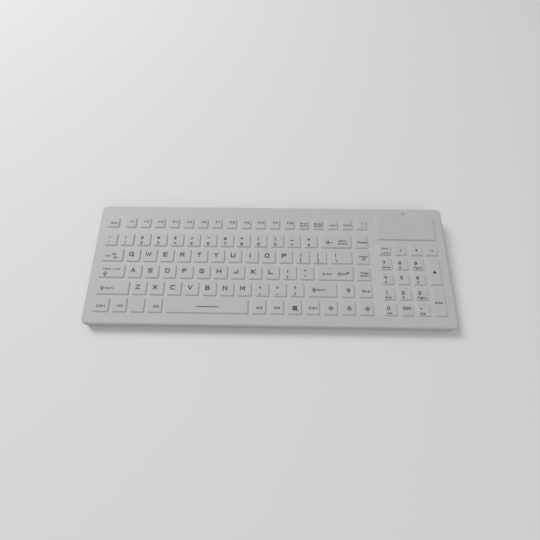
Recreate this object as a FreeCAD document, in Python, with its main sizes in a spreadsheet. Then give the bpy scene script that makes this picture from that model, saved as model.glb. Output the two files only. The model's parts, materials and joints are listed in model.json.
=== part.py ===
import FreeCAD, Part

import math
import os
import re
import Sketcher

# Wireless medical keyboard, a sealed silicone keypad over a wedge shaped base.
# Millimetres. The origin is the middle of the footprint at table level, +X to the right of
# the person who types, +Y away from that person, +Z up. Everything above the floor of the
# base is drawn level, in deck coordinates, and then tilted as one block about X: there z is
# 0 on the silicone sheet between the keys, and x and y are 0 in the middle of the outline.

SIZES = {
    # outline and tilt
    "front_height": 12.0,
    "deck_tilt": 4.0,
    "corner_radius": 6.0,
    "edge_radius": 3.0,
    # silicone skin
    "skin_thick": 3.0,
    "skirt_wall": 2.0,
    "skirt_drop": 7.5,
    "seal_thick": 0.5,
    "seal_clear": 0.1,
    # keys: main block
    "key_pitch": 19.05,
    "key_gap": 3.5,
    "front_margin": 13.2,
    "side_margin": 10.9,
    "rear_margin": 16.6,
    "grave_wide": 14.6,
    "tab_wide": 24.4,
    "caps_wide": 28.8,
    "shift_wide": 36.7,
    "ctrl_wide": 17.9,
    "backspace_wide": 34.75,
    # keys: function row
    "top_wide": 12.19,
    "top_deep": 12.2,
    "esc_gap": 7.57,
    "top_row_step": 22.8,
    "esc_wide": 13.7,
    # keys: number pad
    "pad_pitch": 17.5,
    "pad_row_pitch": 17.0,
    "pad_gap": 3.9,
    "block_gap": 11.0,
    "pad_margin": 11.5,
    # keys: section through one key
    "key_rise": 1.4,
    "key_drop": 1.2,
    "key_draft": 8.0,
    "key_corner": 1.2,
    "key_clear": 0.3,
    "pill_wide": 5.0,
    "pill_thick": 0.3,
    # raised panel and status light
    "panel_gap": 5.9,
    "panel_deep": 28.5,
    "panel_corner": 2.0,
    "lamp_inset": 6.5,
    "lamp_wide": 4.6,
    "lamp_deep": 1.4,
    "lamp_clear": 0.05,
    "led_wide": 3.2,
    "led_deep": 1.1,
    "led_thick": 0.7,
    # boards
    "board_thick": 1.6,
    "board_clear": 1.0,
    "plate_thick": 1.0,
    "rear_strip": 11.0,
    "chip_wide": 7.0,
    "chip_thick": 1.4,
    "chip_pitch": 34.0,
    "radio_wide": 16.0,
    "radio_deep": 8.0,
    "radio_thick": 0.8,
    "radio_margin": 1.5,
    "notch_clear": 1.2,
    # base
    "wall": 2.2,
    "floor_thick": 2.0,
    "foot_rise": 1.5,
    "base_chamfer": 1.2,
    "rib_thick": 1.6,
    "rib_pitch": 34.0,
    "rear_ledge": 2.6,
    # screws of the base
    "boss_wide": 9.0,
    "boss_seat": 1.6,
    "screw_wide": 3.0,
    "screw_clear": 0.2,
    "screw_head_wide": 5.6,
    "screw_head_thick": 1.9,
    "well_wide": 6.6,
    "plug_clear": 0.05,
    "plug_thick": 1.6,
    "screw_side": 22.0,
    "screw_front": 22.0,
    "screw_rear": 9.0,
    # feet
    "foot_wide": 10.0,
    "foot_sink": 0.6,
    "foot_clear": 0.2,
    "foot_inset": 6.6,
    "foot_side": 20.0,
    # battery bay
    "cell_wide": 10.5,
    "cell_long": 43.5,
    "nib_wide": 3.8,
    "nib_long": 1.0,
    "cell_clear": 0.3,
    "bay_wall": 1.6,
    "bay_roof": 1.2,
    "spring_room": 3.4,
    "contact_thick": 0.4,
    "contact_wide": 7.0,
    "contact_tall": 8.0,
    "spring_flat": 1.5,
    # battery cover
    "cover_thick": 1.8,
    "cover_clear": 0.3,
    "cover_lap_side": 8.0,
    "cover_lap_front": 3.0,
    "gasket_thick": 0.5,
    "gasket_wide": 1.6,
    "gasket_inset": 0.8,
    "gasket_clear": 0.1,
    "ledge_thick": 1.8,
    "post_wide": 5.4,
    "post_tall": 3.4,
    "cover_screw_wide": 2.0,
    "cover_screw_clear": 0.3,
    "cover_screw_head": 4.2,
    "cover_screw_sink": 1.0,
    "cover_screw_side": 4.0,
}

KEY_ROWS = 5
DIGIT_KEYS = 12
PAD_COLUMNS = 4
PAD_ROWS = 5
TOP_KEYS = 17
RIBS = 11
ROUND_SIDES = 12
TINY = 1e-6
FOOT_SIDES = 16

doc = FreeCAD.newDocument("medical_keyboard")
sheet = doc.addObject("Spreadsheet::Sheet", "sizes")
for line, (alias, number) in enumerate(SIZES.items(), start=1):
    sheet.set(f"A{line}", alias)
    sheet.set(f"B{line}", str(number))
    sheet.setAlias(f"B{line}", alias)
doc.recompute()

parts = []
steps = []
cuts = []


def tie(thing, path, formula):
    """Bind a property to a formula of sheet sizes, such as 'key_rise + key_drop'."""
    text = re.sub(r"[a-z][a-z_]+", lambda m: "sizes." + m[0] if m[0] in SIZES else m[0], formula)
    thing.setExpression(path, text)


# places, as formulas of the sheet's sizes, in deck coordinates

KEY = "(key_pitch - key_gap)"
PAD_KEY = "(pad_pitch - pad_gap)"
PAD_KEY_DEEP = "(pad_row_pitch - pad_gap)"
MAIN_WIDE = f"(grave_wide + {DIGIT_KEYS} * key_pitch + 2 * key_gap + backspace_wide + {KEY})"
PAD_WIDE = f"({PAD_COLUMNS - 1} * pad_pitch + {PAD_KEY})"
TOP_PITCH = f"(({MAIN_WIDE} - esc_wide - esc_gap - top_wide) / {TOP_KEYS - 1})"
BODY_WIDE = f"(side_margin + {MAIN_WIDE} + block_gap + {PAD_WIDE} + pad_margin)"
BODY_DEEP = f"(front_margin + {KEY_ROWS - 1} * key_pitch + top_row_step + top_deep + rear_margin)"
HALF_WIDE = f"({BODY_WIDE} / 2)"
HALF_DEEP = f"({BODY_DEEP} / 2)"
FIELD_LEFT = f"(side_margin - {HALF_WIDE})"
FIELD_RIGHT = f"({FIELD_LEFT} + {MAIN_WIDE})"
FIELD_FRONT = f"(front_margin - {HALF_DEEP})"
PAD_RIGHT = f"({HALF_WIDE} - pad_margin)"
PAD_LEFT = f"({PAD_RIGHT} - {PAD_WIDE})"
PAD_BACK = f"({FIELD_FRONT} + {PAD_ROWS - 1} * pad_row_pitch + {PAD_KEY_DEEP})"
TOP_FRONT = f"({FIELD_FRONT} + {KEY_ROWS - 1} * key_pitch + top_row_step)"
PANEL_FRONT = f"({PAD_BACK} + panel_gap)"
PANEL_BACK = f"({PANEL_FRONT} + panel_deep)"
LAMP_PLACE = f"({HALF_DEEP} - lamp_inset - lamp_deep)"
PAD_MIDDLE = f"(({PAD_LEFT} + {PAD_RIGHT}) / 2)"

# levels below the deck
PLATE_TOP = "(skin_thick + board_thick)"
PLATE_UNDER = "(skin_thick + board_thick + plate_thick)"
RIM_TOP = "(skin_thick + seal_thick)"
WELL_TOP = f"({PLATE_UNDER} + boss_seat)"
INNER_INSET = "(skirt_wall + wall)"
BOARD_INSET = f"({INNER_INSET} + board_clear)"

BOARD_BACK = f"({HALF_DEEP} - {BOARD_INSET})"

# the battery bay under the raised panel, level with the table
BAY_LONG = "(cell_long + nib_long + spring_room + contact_thick)"
BAY_DEEP = "(2 * cell_wide + 3 * cell_clear)"
BAY_PLACE = f"(({PANEL_FRONT} + {PANEL_BACK}) / 2)"
COVER_TOP = "(foot_rise + cover_thick)"
LEDGE_UNDER = f"({COVER_TOP} + gasket_thick + gasket_clear)"
BAY_TOP = f"({COVER_TOP} + 2 * cell_clear + cell_wide)"
NOTCH_LEFT = f"({PAD_MIDDLE} - {BAY_LONG} / 2 - bay_wall - notch_clear)"
NOTCH_FRONT = f"({BAY_PLACE} - {BAY_DEEP} / 2 - bay_wall - notch_clear)"
NOTCH_BACK = f"({BAY_PLACE} + {BAY_DEEP} / 2 + bay_wall + notch_clear)"

# the tilt: height of the deck's middle, and the slide that centres the footprint
SIN = "sin(deck_tilt)"
COS = "cos(deck_tilt)"
DECK_MIDDLE = f"(front_height + {HALF_DEEP} * {SIN})"
REAR_DROP = f"(({DECK_MIDDLE} + {HALF_DEEP} * {SIN} - foot_rise) / {COS})"
SLIDE = f"(({REAR_DROP} + edge_radius) * {SIN} / 2)"


def under(height):
    """Formula in deck coordinates of a level height above the table, at the deck's middle line."""
    return f"(({height} - {DECK_MIDDLE}) / {COS})"


def slope(y, height):
    """Deck z of the level plane at this height above the table, where the deck's y is given."""
    return f"({under(height)} - {y} * tan(deck_tilt))"


def plane_of(body, role):
    for item in body.Origin.OriginFeatures:
        if item.Role == role:
            return item
    raise RuntimeError(f"{body.Label} has no {role}")


def new_body(label):
    body = doc.addObject("PartDesign::Body", label)
    body.Label = label
    return body


def new_sketch(body, name, role="XY_Plane", lift="0"):
    """Sketch on an origin plane of its own body, lifted along that plane's normal."""
    sketch = body.newObject("Sketcher::SketchObject", name)
    sketch.AttachmentSupport = [(plane_of(body, role), "")]
    sketch.MapMode = "FlatFace"
    tie(sketch, "AttachmentOffset.Base.z", lift)
    return sketch


def level_sketch(body, name, height):
    """Sketch in a tilted body on a plane that is level, at this height above the table."""
    sketch = body.newObject("Sketcher::SketchObject", name)
    sketch.AttachmentSupport = [(plane_of(body, "XY_Plane"), "")]
    sketch.MapMode = "FlatFace"
    sketch.AttachmentOffset = FreeCAD.Placement(
        FreeCAD.Vector(), FreeCAD.Rotation(FreeCAD.Vector(1, 0, 0), -1)
    )
    tie(sketch, "AttachmentOffset.Rotation.Angle", "-deck_tilt")
    rise = f"({height} - {DECK_MIDDLE})"
    tie(sketch, "AttachmentOffset.Base.y", f"{SLIDE} * {COS} + {rise} * {SIN}")
    tie(sketch, "AttachmentOffset.Base.z", f"{rise} * {COS} - {SLIDE} * {SIN}")
    return sketch


def constrain(sketch, rows):
    """Add rows of (formula or None, kind, places and value of a constraint) in one go."""
    numbers = sketch.addConstraint([Sketcher.Constraint(*row[1:]) for row in rows])
    for number, row in zip(numbers, rows):
        if row[0] is not None:
            tie(sketch, f"Constraints[{number}]", row[0])


def outline(sketch, corners):
    """Closed outline of straight lines through corners, each an (x, y) pair of formulas."""
    count = len(corners)
    first = sketch.GeometryCount
    spots = [FreeCAD.Vector(math.cos(math.tau * i / count), math.sin(math.tau * i / count), 0)
             for i in range(count)]
    sketch.addGeometry([Part.LineSegment(spots[i - 1], spots[i]) for i in range(count)], False)
    rows = []
    for i, (x, y) in enumerate(corners):
        line = first + i
        rows.append((None, "Coincident", line, 2, first + (i + 1) % count, 1))
        rows.append((x, "DistanceX", -1, 1, line, 2, spots[i].x))
        rows.append((y, "DistanceY", -1, 1, line, 2, spots[i].y))
    constrain(sketch, rows)


def rectangle(sketch, left, front, right, back):
    outline(sketch, [(left, front), (right, front), (right, back), (left, back)])


def cut_rectangle(sketch, left, front, right, back, corner):
    """Rectangle whose corners are cut off at 45 degrees."""
    outline(sketch, [
        (f"{left} + {corner}", front), (f"{right} - {corner}", front),
        (right, f"{front} + {corner}"), (right, f"{back} - {corner}"),
        (f"{right} - {corner}", back), (f"{left} + {corner}", back),
        (left, f"{back} - {corner}"), (left, f"{front} + {corner}"),
    ])


def circle(sketch, x, y, diameter):
    number = sketch.addGeometry(Part.Circle(FreeCAD.Vector(), FreeCAD.Vector(0, 0, 1), 1), False)
    constrain(sketch, [(x, "DistanceX", -1, 1, number, 3, 0.0),
                       (y, "DistanceY", -1, 1, number, 3, 0.0),
                       (f"{diameter} / 2", "Radius", number, 1.0)])


def ring(sketch, x, y, diameter, sides=ROUND_SIDES):
    """Small round outline, drawn with a few straight sides."""
    turns = [f"({i} * 360 / {sides})" for i in range(sides)]
    outline(sketch, [(f"{x} + {diameter} / 2 * cos{turn}", f"{y} + {diameter} / 2 * sin{turn}")
                     for turn in turns])


def extrude(kind, body, name, sketch, length, reverse=False, both=False, taper=None):
    feature = body.newObject(f"PartDesign::{kind}", name)
    feature.Profile = sketch
    tie(feature, "Length", length)
    feature.Reversed = reverse
    if both:
        feature.SideType = "Symmetric"
    if taper:
        tie(feature, "TaperAngle", taper)
    steps.append((kind, feature))
    return feature


def pad(body, name, sketch, length, **how):
    return extrude("Pad", body, name, sketch, length, **how)


def pocket(body, name, sketch, length, **how):
    return extrude("Pocket", body, name, sketch, length, **how)


def repeat(body, name, features, axis, length, count):
    """Row of the features along one of the body's own axes."""
    pattern = body.newObject("PartDesign::LinearPattern", name)
    pattern.Originals = features
    pattern.Direction = (plane_of(body, f"{axis}_Axis"), [""])
    tie(pattern, "Length", length)
    pattern.Occurrences = count
    body.Tip = pattern
    return pattern


def edges_where(shape, test):
    """Names of the edges whose end points both pass the test, which also gets the farthest x and y."""
    reach = (max(vertex.X for vertex in shape.Vertexes), max(vertex.Y for vertex in shape.Vertexes))
    return [f"Edge{i}" for i, edge in enumerate(shape.Edges, start=1)
            if all(test(edge, vertex.Point, reach) for vertex in edge.Vertexes)]


def dress(kind, body, name, base, test, formula):
    """Fillet or Chamfer on the edges of the base feature that pass the test."""
    doc.recompute()
    edges = edges_where(base.Shape, test)
    if not edges:
        raise RuntimeError(f"{body.Label}: {name} finds no edge")
    feature = body.newObject(f"PartDesign::{kind}", name)
    feature.Base = (base, edges)
    tie(feature, "Radius" if kind == "Fillet" else "Size", formula)
    return feature


def draft_keys(body, name, base):
    """Lean the flanks of every key in the body inwards. They keep their size at their foot."""
    doc.recompute()
    foot = -SIZES["key_drop"]
    flanks, feet = [], []
    for i, face in enumerate(base.Shape.Faces, start=1):
        lowest = min(vertex.Z for vertex in face.Vertexes)
        highest = max(vertex.Z for vertex in face.Vertexes)
        if abs(lowest - foot) < TINY:
            (feet if abs(highest - foot) < TINY else flanks).append(f"Face{i}")
    feature = body.newObject("PartDesign::Draft", name)
    feature.Base = (base, flanks)
    feature.NeutralPlane = (base, feet[:1])
    tie(feature, "Angle", "key_draft")
    body.Tip = feature


def tilt(thing):
    """Put a thing drawn in deck coordinates where the tilted deck is."""
    thing.Placement = FreeCAD.Placement(
        FreeCAD.Vector(), FreeCAD.Rotation(FreeCAD.Vector(1, 0, 0), 1)
    )
    tie(thing, "Placement.Rotation.Angle", "deck_tilt")
    tie(thing, "Placement.Base.y", f"-{SLIDE}")
    tie(thing, "Placement.Base.z", DECK_MIDDLE)


def keep(thing, tilted=True):
    """Add a finished sub-part to the hand-in."""
    if tilted:
        tilt(thing)
    parts.append(thing)


# the keys: one row of equal keys is one body, each key a drafted silicone pad with a contact
# pill underneath, and each key has its opening in the skin

openings = []


def key_row(label, left, front, wide=KEY, deep=KEY, count=1, pitch="key_pitch", axis="X", pills=1):
    body = new_body(label)
    right = f"({left} + {wide})"
    back = f"({front} + {deep})"
    head = new_sketch(body, label + "_outline", lift="-key_drop")
    cut_rectangle(head, left, front, right, back, "key_corner")
    features = [pad(body, label + "_pad", head, "key_rise + key_drop")]
    pill = new_sketch(body, label + "_contact", lift="-key_drop")
    for i in range(pills):
        middle = f"({left} + {wide} * {2 * i + 1} / {2 * pills})"
        rectangle(pill, f"{middle} - pill_wide / 2", f"({front} + {back} - pill_wide) / 2",
                  f"{middle} + pill_wide / 2", f"({front} + {back} + pill_wide) / 2")
    features.append(pad(body, label + "_pill", pill, "pill_thick", reverse=True))
    if count > 1:
        repeat(body, label + "_row", features, axis, f"{count - 1} * {pitch}", count)
    draft_keys(body, label + "_draft", body.Tip)
    keep(body)
    for i in range(count):
        step_x = f" + {i} * {pitch}" if axis == "X" else ""
        step_y = f" + {i} * {pitch}" if axis == "Y" else ""
        hole = doc.addObject("Part::Box", f"{label}_opening_{i + 1}")
        tie(hole, "Placement.Base.x", f"{left} - key_clear{step_x}")
        tie(hole, "Placement.Base.y", f"{front} - key_clear{step_y}")
        tie(hole, "Placement.Base.z", "-2 * skin_thick")
        tie(hole, "Length", f"{wide} + 2 * key_clear")
        tie(hole, "Width", f"{deep} + 2 * key_clear")
        tie(hole, "Height", "3 * skin_thick")
        openings.append(hole)


def fill_key(label, left, front, right, **how):
    """Wide key that fills the space between two edges."""
    key_row(label, left, front, wide=f"({right} - {left})", **how)


def main_keys():
    row = [f"({FIELD_FRONT} + {k} * key_pitch)" for k in range(KEY_ROWS)]
    last = f"({FIELD_RIGHT} - {KEY})"
    wide_right = f"({last} - key_gap)"

    def after(first_wide, number):
        return f"({FIELD_LEFT} + {first_wide} + key_gap + {number} * key_pitch)"

    def from_right(number):
        return f"({last} - {number} * key_pitch)"

    # number row
    key_row("grave_key", FIELD_LEFT, row[4], wide="grave_wide")
    key_row("left_digit_keys", after("grave_wide", 0), row[4], count=6)
    key_row("right_digit_keys", after("grave_wide", 6), row[4], count=6)
    key_row("backspace_key", after("grave_wide", DIGIT_KEYS), row[4], wide="backspace_wide")
    # upper letter row
    key_row("tab_key", FIELD_LEFT, row[3], wide="tab_wide")
    key_row("q_to_t_keys", after("tab_wide", 0), row[3], count=5)
    key_row("y_to_bracket_keys", after("tab_wide", 5), row[3], count=7)
    fill_key("backslash_key", after("tab_wide", 12), row[3], wide_right)
    # middle letter row
    key_row("caps_lock_key", FIELD_LEFT, row[2], wide="caps_wide")
    key_row("a_to_g_keys", after("caps_wide", 0), row[2], count=5)
    key_row("h_to_quote_keys", after("caps_wide", 5), row[2], count=6)
    fill_key("enter_key", after("caps_wide", 11), row[2], wide_right)
    # lower letter row
    key_row("left_shift_key", FIELD_LEFT, row[1], wide="shift_wide")
    key_row("z_to_b_keys", after("shift_wide", 0), row[1], count=5)
    key_row("n_to_slash_keys", after("shift_wide", 5), row[1], count=5)
    fill_key("right_shift_key", after("shift_wide", 10), row[1], f"({from_right(1)} - key_gap)")
    key_row("up_key", from_right(1), row[1])
    # bottom row
    key_row("left_ctrl_key", FIELD_LEFT, row[0], wide="ctrl_wide")
    key_row("left_system_keys", after("ctrl_wide", 0), row[0], count=2)
    key_row("left_alt_key", after("ctrl_wide", 2), row[0])
    fill_key("space_bar", after("ctrl_wide", 3), row[0], f"({from_right(6)} - key_gap)", pills=3)
    names = ["right_key", "down_key", "left_key", "right_ctrl_key", "menu_key",
             "right_system_key", "right_alt_key"]
    for number, name in enumerate(names):
        key_row(name, from_right(number), row[0])
    # right column, End up to Home
    key_row("page_keys", last, row[1], count=4, axis="Y")


def function_keys():
    top = {"wide": "top_wide", "deep": "top_deep", "pitch": TOP_PITCH}

    def place(number):
        return f"({FIELD_RIGHT} - top_wide - {TOP_KEYS - number} * {TOP_PITCH})"

    key_row("esc_key", FIELD_LEFT, TOP_FRONT, wide="esc_wide", deep="top_deep")
    key_row("f1_to_f4_keys", place(1), TOP_FRONT, count=4, **top)
    key_row("f5_to_f8_keys", place(5), TOP_FRONT, count=4, **top)
    key_row("f9_to_f12_keys", place(9), TOP_FRONT, count=4, **top)
    key_row("print_to_delete_keys", place(13), TOP_FRONT, count=4, **top)
    key_row("symbol_key", place(17), TOP_FRONT, **top)


def pad_keys():
    size = {"wide": PAD_KEY, "deep": PAD_KEY_DEEP, "pitch": "pad_pitch"}
    row = [f"({FIELD_FRONT} + {k} * pad_row_pitch)" for k in range(PAD_ROWS)]
    last = f"({PAD_RIGHT} - {PAD_KEY})"
    tall = f"({PAD_KEY_DEEP} + pad_row_pitch)"
    key_row("num_top_keys", PAD_LEFT, row[4], count=4, **size)
    key_row("num_789_keys", PAD_LEFT, row[3], count=3, **size)
    key_row("num_456_keys", PAD_LEFT, row[2], count=3, **size)
    key_row("num_123_keys", PAD_LEFT, row[1], count=3, **size)
    key_row("num_zero_keys", PAD_LEFT, row[0], count=3, **size)
    key_row("num_plus_key", last, row[2], wide=PAD_KEY, deep=tall)
    key_row("num_enter_key", last, row[0], wide=PAD_KEY, deep=tall)


def inset_rectangle(sketch, inset):
    rectangle(sketch, f"{inset} - {HALF_WIDE}", f"{inset} - {HALF_DEEP}",
              f"{HALF_WIDE} - {inset}", f"{HALF_DEEP} - {inset}")


def lamp_rectangle(sketch, wide, deep, clear="0"):
    """Rectangle centred on the status light, behind the raised panel."""
    middle = f"({LAMP_PLACE} + lamp_deep / 2)"
    rectangle(sketch, f"{PAD_MIDDLE} - {wide} / 2 + {clear}", f"{middle} - {deep} / 2 + {clear}",
              f"{PAD_MIDDLE} + {wide} / 2 - {clear}", f"{middle} + {deep} / 2 - {clear}")


def at_inset(inset=0.0):
    """Test for the upright edges at four corners that lie this far inside the body's reach."""
    def test(edge, point, reach):
        along = edge.Vertexes[-1].Point - edge.Vertexes[0].Point
        upright = abs(along.x) < TINY and abs(along.y) < TINY
        at_side = abs(abs(point.x) - reach[0] + inset) < TINY
        at_end = abs(abs(point.y) - reach[1] + inset) < TINY
        return upright and at_side and at_end
    return test


def keypad_skin():
    """Moulded silicone sheet with a skirt, a raised panel and a slot for the status light."""
    body = new_body("skin_blank")
    sketch = new_sketch(body, "skin_outline")
    inset_rectangle(sketch, "0")
    block = pad(body, "skin_block", sketch, "skirt_drop", reverse=True)
    corners = dress("Fillet", body, "skin_corners", block, at_inset(), "corner_radius")
    dress("Fillet", body, "skin_rounding", corners, lambda edge, point, reach: abs(point.z) < TINY,
          "edge_radius")
    inside = new_sketch(body, "skirt_inside", lift="-skirt_drop")
    inset_rectangle(inside, "skirt_wall")
    hollow = pocket(body, "skirt_hollow", inside, "skirt_drop - skin_thick", reverse=True)
    dress("Fillet", body, "skirt_corners", hollow, at_inset(SIZES["skirt_wall"]),
          "corner_radius - skirt_wall")
    raised = new_sketch(body, "panel_outline")
    cut_rectangle(raised, PAD_LEFT, PANEL_FRONT, PAD_RIGHT, PANEL_BACK, "panel_corner")
    pad(body, "raised_panel", raised, "key_rise", taper="-key_draft")
    slot = new_sketch(body, "lamp_slot")
    lamp_rectangle(slot, "lamp_wide", "lamp_deep")
    pocket(body, "lamp_opening", slot, "2 * skin_thick")

    cut_out("keypad_skin", body, "key_openings", openings)


# the base: a wedge shaped tray. Its side view is drawn once, looking along X, and everything
# that stands on its floor follows the same sloping floor line.

def side_view(body, name, corners):
    """Sketch on the YZ plane. Its x is the deck's y, and its y is the deck's z."""
    sketch = new_sketch(body, name, role="YZ_Plane")
    outline(sketch, corners)
    return sketch


def drills(name, places, diameter, length, lift, sides=ROUND_SIDES):
    """Round cutting tools that stand on the deck plane at this lift, one at each place."""
    tools = []
    for i, (x, y) in enumerate(places, start=1):
        tool = doc.addObject("Part::Prism", f"{name}_{i}")
        tool.Polygon = sides
        tie(tool, "Circumradius", f"{diameter} / 2")
        tie(tool, "Height", length)
        tie(tool, "Placement.Base.x", x)
        tie(tool, "Placement.Base.y", y)
        tie(tool, "Placement.Base.z", lift)
        tools.append(tool)
    return tools


def level_drills(name, places, diameter, length, height, sides=ROUND_SIDES):
    """Round cutting tools that stand level, at this height above the table. Table coordinates."""
    rise = f"({height} - {DECK_MIDDLE})"
    tools = drills(name, places, diameter, length, "0", sides)
    for tool, (x, y) in zip(tools, places):
        tool.Placement.Rotation = FreeCAD.Rotation(FreeCAD.Vector(1, 0, 0), -1)
        tie(tool, "Placement.Rotation.Angle", "-deck_tilt")
        tie(tool, "Placement.Base.y", f"({y} + {SLIDE}) * {COS} + {rise} * {SIN}")
        tie(tool, "Placement.Base.z", f"{rise} * {COS} - ({y} + {SLIDE}) * {SIN}")
    return tools


def cut_out(label, body, name, tools):
    """The body with all the tools cut from it, kept as a sub-part."""
    together = doc.addObject("Part::Compound", name)
    together.Links = tools
    result = doc.addObject("Part::Cut", label)
    result.Base = body
    result.Tool = together
    cuts.append(result)
    keep(result)


def screw_places():
    side = f"({HALF_WIDE} - screw_side)"
    front = f"(screw_front - {HALF_DEEP})"
    rear = f"({BOARD_BACK} - rear_strip - screw_rear)"
    beside_bay = f"({PAD_LEFT} - key_gap - screw_rear)"
    return [(f"-{side}", front), ("0", front), (side, front),
            (f"-{side}", rear), ("0", rear), (beside_bay, rear)]


def at_each(kind, body, name, draw, places, diameter, length, sides=ROUND_SIDES, reverse=False):
    """Small round Pads or Pockets of a body, one at each place, on sketches that draw(name) starts."""
    for i, (x, y) in enumerate(places, start=1):
        sketch = draw(f"{name}_outline_{i}")
        ring(sketch, x, y, diameter, sides)
        extrude(kind, body, f"{name}_{i}", sketch, length, reverse=reverse)


def bay_rectangle(sketch, side, end):
    """Level rectangle round the two cells, grown by these amounts. Table coordinates."""
    half_long = f"({BAY_LONG} / 2 + {side})"
    half_deep = f"({BAY_DEEP} / 2 + {end})"
    rectangle(sketch, f"{PAD_MIDDLE} - {half_long}", f"{BAY_PLACE} - {half_deep}",
              f"{PAD_MIDDLE} + {half_long}", f"{BAY_PLACE} + {half_deep}")


def base_shell():
    """Injection moulded tray: walls, rim for the skin, ribs, screw bosses and battery bay."""
    body = new_body("base_blank")
    front, back = f"-{HALF_DEEP}", HALF_DEEP
    side = side_view(body, "wedge", [
        (front, "-skirt_drop"), (front, slope(front, "foot_rise")),
        (back, slope(back, "foot_rise")), (back, "-skirt_drop")])
    block = pad(body, "wedge_block", side, BODY_WIDE, both=True)
    corners = dress("Fillet", body, "base_corners", block, at_inset(), "corner_radius")
    dress("Chamfer", body, "base_edge", corners,
          lambda edge, point, reach: point.z < -SIZES["skirt_drop"] - TINY, "base_chamfer")

    neck = new_sketch(body, "neck_outline", lift="-skirt_drop")
    inset_rectangle(neck, "(skirt_wall + seal_clear)")
    rim = pad(body, "neck", neck, f"skirt_drop - {RIM_TOP}")
    inset = SIZES["skirt_wall"] + SIZES["seal_clear"]
    dress("Fillet", body, "neck_corners", rim, at_inset(inset), "corner_radius - skirt_wall")

    inner_front, inner_back = f"({front} + {INNER_INSET})", f"({back} - {INNER_INSET})"

    def on_floor(name, start, end, top, height):
        """Side view of what stands on the floor: from y start to y end, up to deck z top."""
        return side_view(body, name, [(start, top), (start, slope(start, height)),
                                      (end, slope(end, height)), (end, top)])

    inside = on_floor("inside", inner_front, inner_back, "0", "(foot_rise + floor_thick)")
    pocket(body, "hollow", inside, f"{BODY_WIDE} - 2 * {INNER_INSET}", both=True)

    in_floor = "(foot_rise + floor_thick / 2)"
    rib_back = f"({BOARD_BACK} - rear_strip)"
    rib_side = on_floor("rib_side", inner_front, rib_back, f"-{PLATE_UNDER}", in_floor)
    tie(rib_side, "AttachmentOffset.Base.z", f"-rib_pitch * {RIBS - 1} / 2")
    rib = pad(body, "rib", rib_side, "rib_thick", both=True)
    repeat(body, "ribs", [rib], "X", f"rib_pitch * {RIBS - 1}", RIBS)

    ledge_front = f"({inner_back} - rear_ledge)"
    ledge = on_floor("ledge_side", ledge_front, inner_back, f"-{PLATE_TOP}", in_floor)
    pad(body, "rear_board_ledge", ledge, f"{BODY_WIDE} - 2 * {INNER_INSET}", both=True)

    screws = screw_places()
    at_each("Pad", body, "boss", lambda name: new_sketch(body, name, lift=f"-{PLATE_UNDER}"),
            screws, "boss_wide", REAR_DROP, reverse=True)
    below = on_floor("below", f"(-{BODY_DEEP})", BODY_DEEP, f"(-{BODY_DEEP})", "foot_rise")
    pocket(body, "trim_bosses", below, BODY_WIDE, both=True)

    frame = level_sketch(body, "bay_frame_outline", "foot_rise")
    bay_rectangle(frame, "(cover_lap_side + cover_clear + bay_wall)",
                  "(cover_lap_front + cover_clear + bay_wall)")
    pad(body, "bay_frame", frame, f"{LEDGE_UNDER} + ledge_thick - foot_rise")
    box = level_sketch(body, "bay_box_outline", LEDGE_UNDER)
    bay_rectangle(box, "bay_wall", "bay_wall")
    pad(body, "bay_box", box, f"{BAY_TOP} + bay_roof - {LEDGE_UNDER}")
    at_each("Pad", body, "cover_post", lambda name: level_sketch(body, name, LEDGE_UNDER),
            cover_screw_places(), "post_wide", "ledge_thick + post_tall")

    room = level_sketch(body, "bay_outline", "foot_rise")
    bay_rectangle(room, "0", "0")
    pocket(body, "battery_bay", room, f"{BAY_TOP} - foot_rise", reverse=True)
    seat = level_sketch(body, "cover_seat_outline", "foot_rise")
    bay_rectangle(seat, "(cover_lap_side + cover_clear)", "(cover_lap_front + cover_clear)")
    pocket(body, "cover_seat", seat, f"{LEDGE_UNDER} - foot_rise", reverse=True)
    below_floor = f"(-{REAR_DROP} - skin_thick)"
    tools = drills("screw_well", screws, "well_wide", f"-{WELL_TOP} - {below_floor}", below_floor)
    tools += drills("shank_hole", screws, "(screw_wide + 2 * screw_clear)", "2 * boss_seat",
                    f"(-{WELL_TOP} - boss_seat / 2)")
    tools += level_drills("cover_hole", cover_screw_places(),
                          "(cover_screw_wide + 2 * cover_screw_clear)",
                          f"{LEDGE_UNDER} - {COVER_TOP} + ledge_thick + post_tall - bay_roof",
                          COVER_TOP)
    tools += level_drills("foot_seat", foot_places(), "(foot_wide + 2 * foot_clear)",
                          "foot_rise + foot_sink", "0", FOOT_SIDES)
    cut_out("base_shell", body, "base_openings", tools)


def cover_screw_places():
    reach = f"({BAY_LONG} / 2 + cover_lap_side - cover_screw_side)"
    return [(f"{PAD_MIDDLE} - {reach}", BAY_PLACE), (f"{PAD_MIDDLE} + {reach}", BAY_PLACE)]


def foot_places():
    side = f"({HALF_WIDE} - foot_side)"
    end = f"({HALF_DEEP} - foot_inset)"
    return [(x, y) for x in (f"-{side}", "0", side) for y in (f"-{end}", end)]


def rubber_feet():
    body = new_body("rubber_feet")
    at_each("Pad", body, "foot", lambda name: new_sketch(body, name), foot_places(), "foot_wide",
            "foot_rise + foot_sink", sides=FOOT_SIDES)
    keep(body, tilted=False)


def base_screws():
    """Pan head screws that come up through the bosses into the steel plate."""
    body = new_body("base_screws")

    def seat(name):
        return new_sketch(body, name, lift=f"-{WELL_TOP}")

    at_each("Pad", body, "base_screw_head", seat, screw_places(), "screw_head_wide",
            "screw_head_thick", reverse=True)
    at_each("Pad", body, "base_screw_shank", seat, screw_places(), "screw_wide",
            "boss_seat + plate_thick")
    keep(body)


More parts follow.
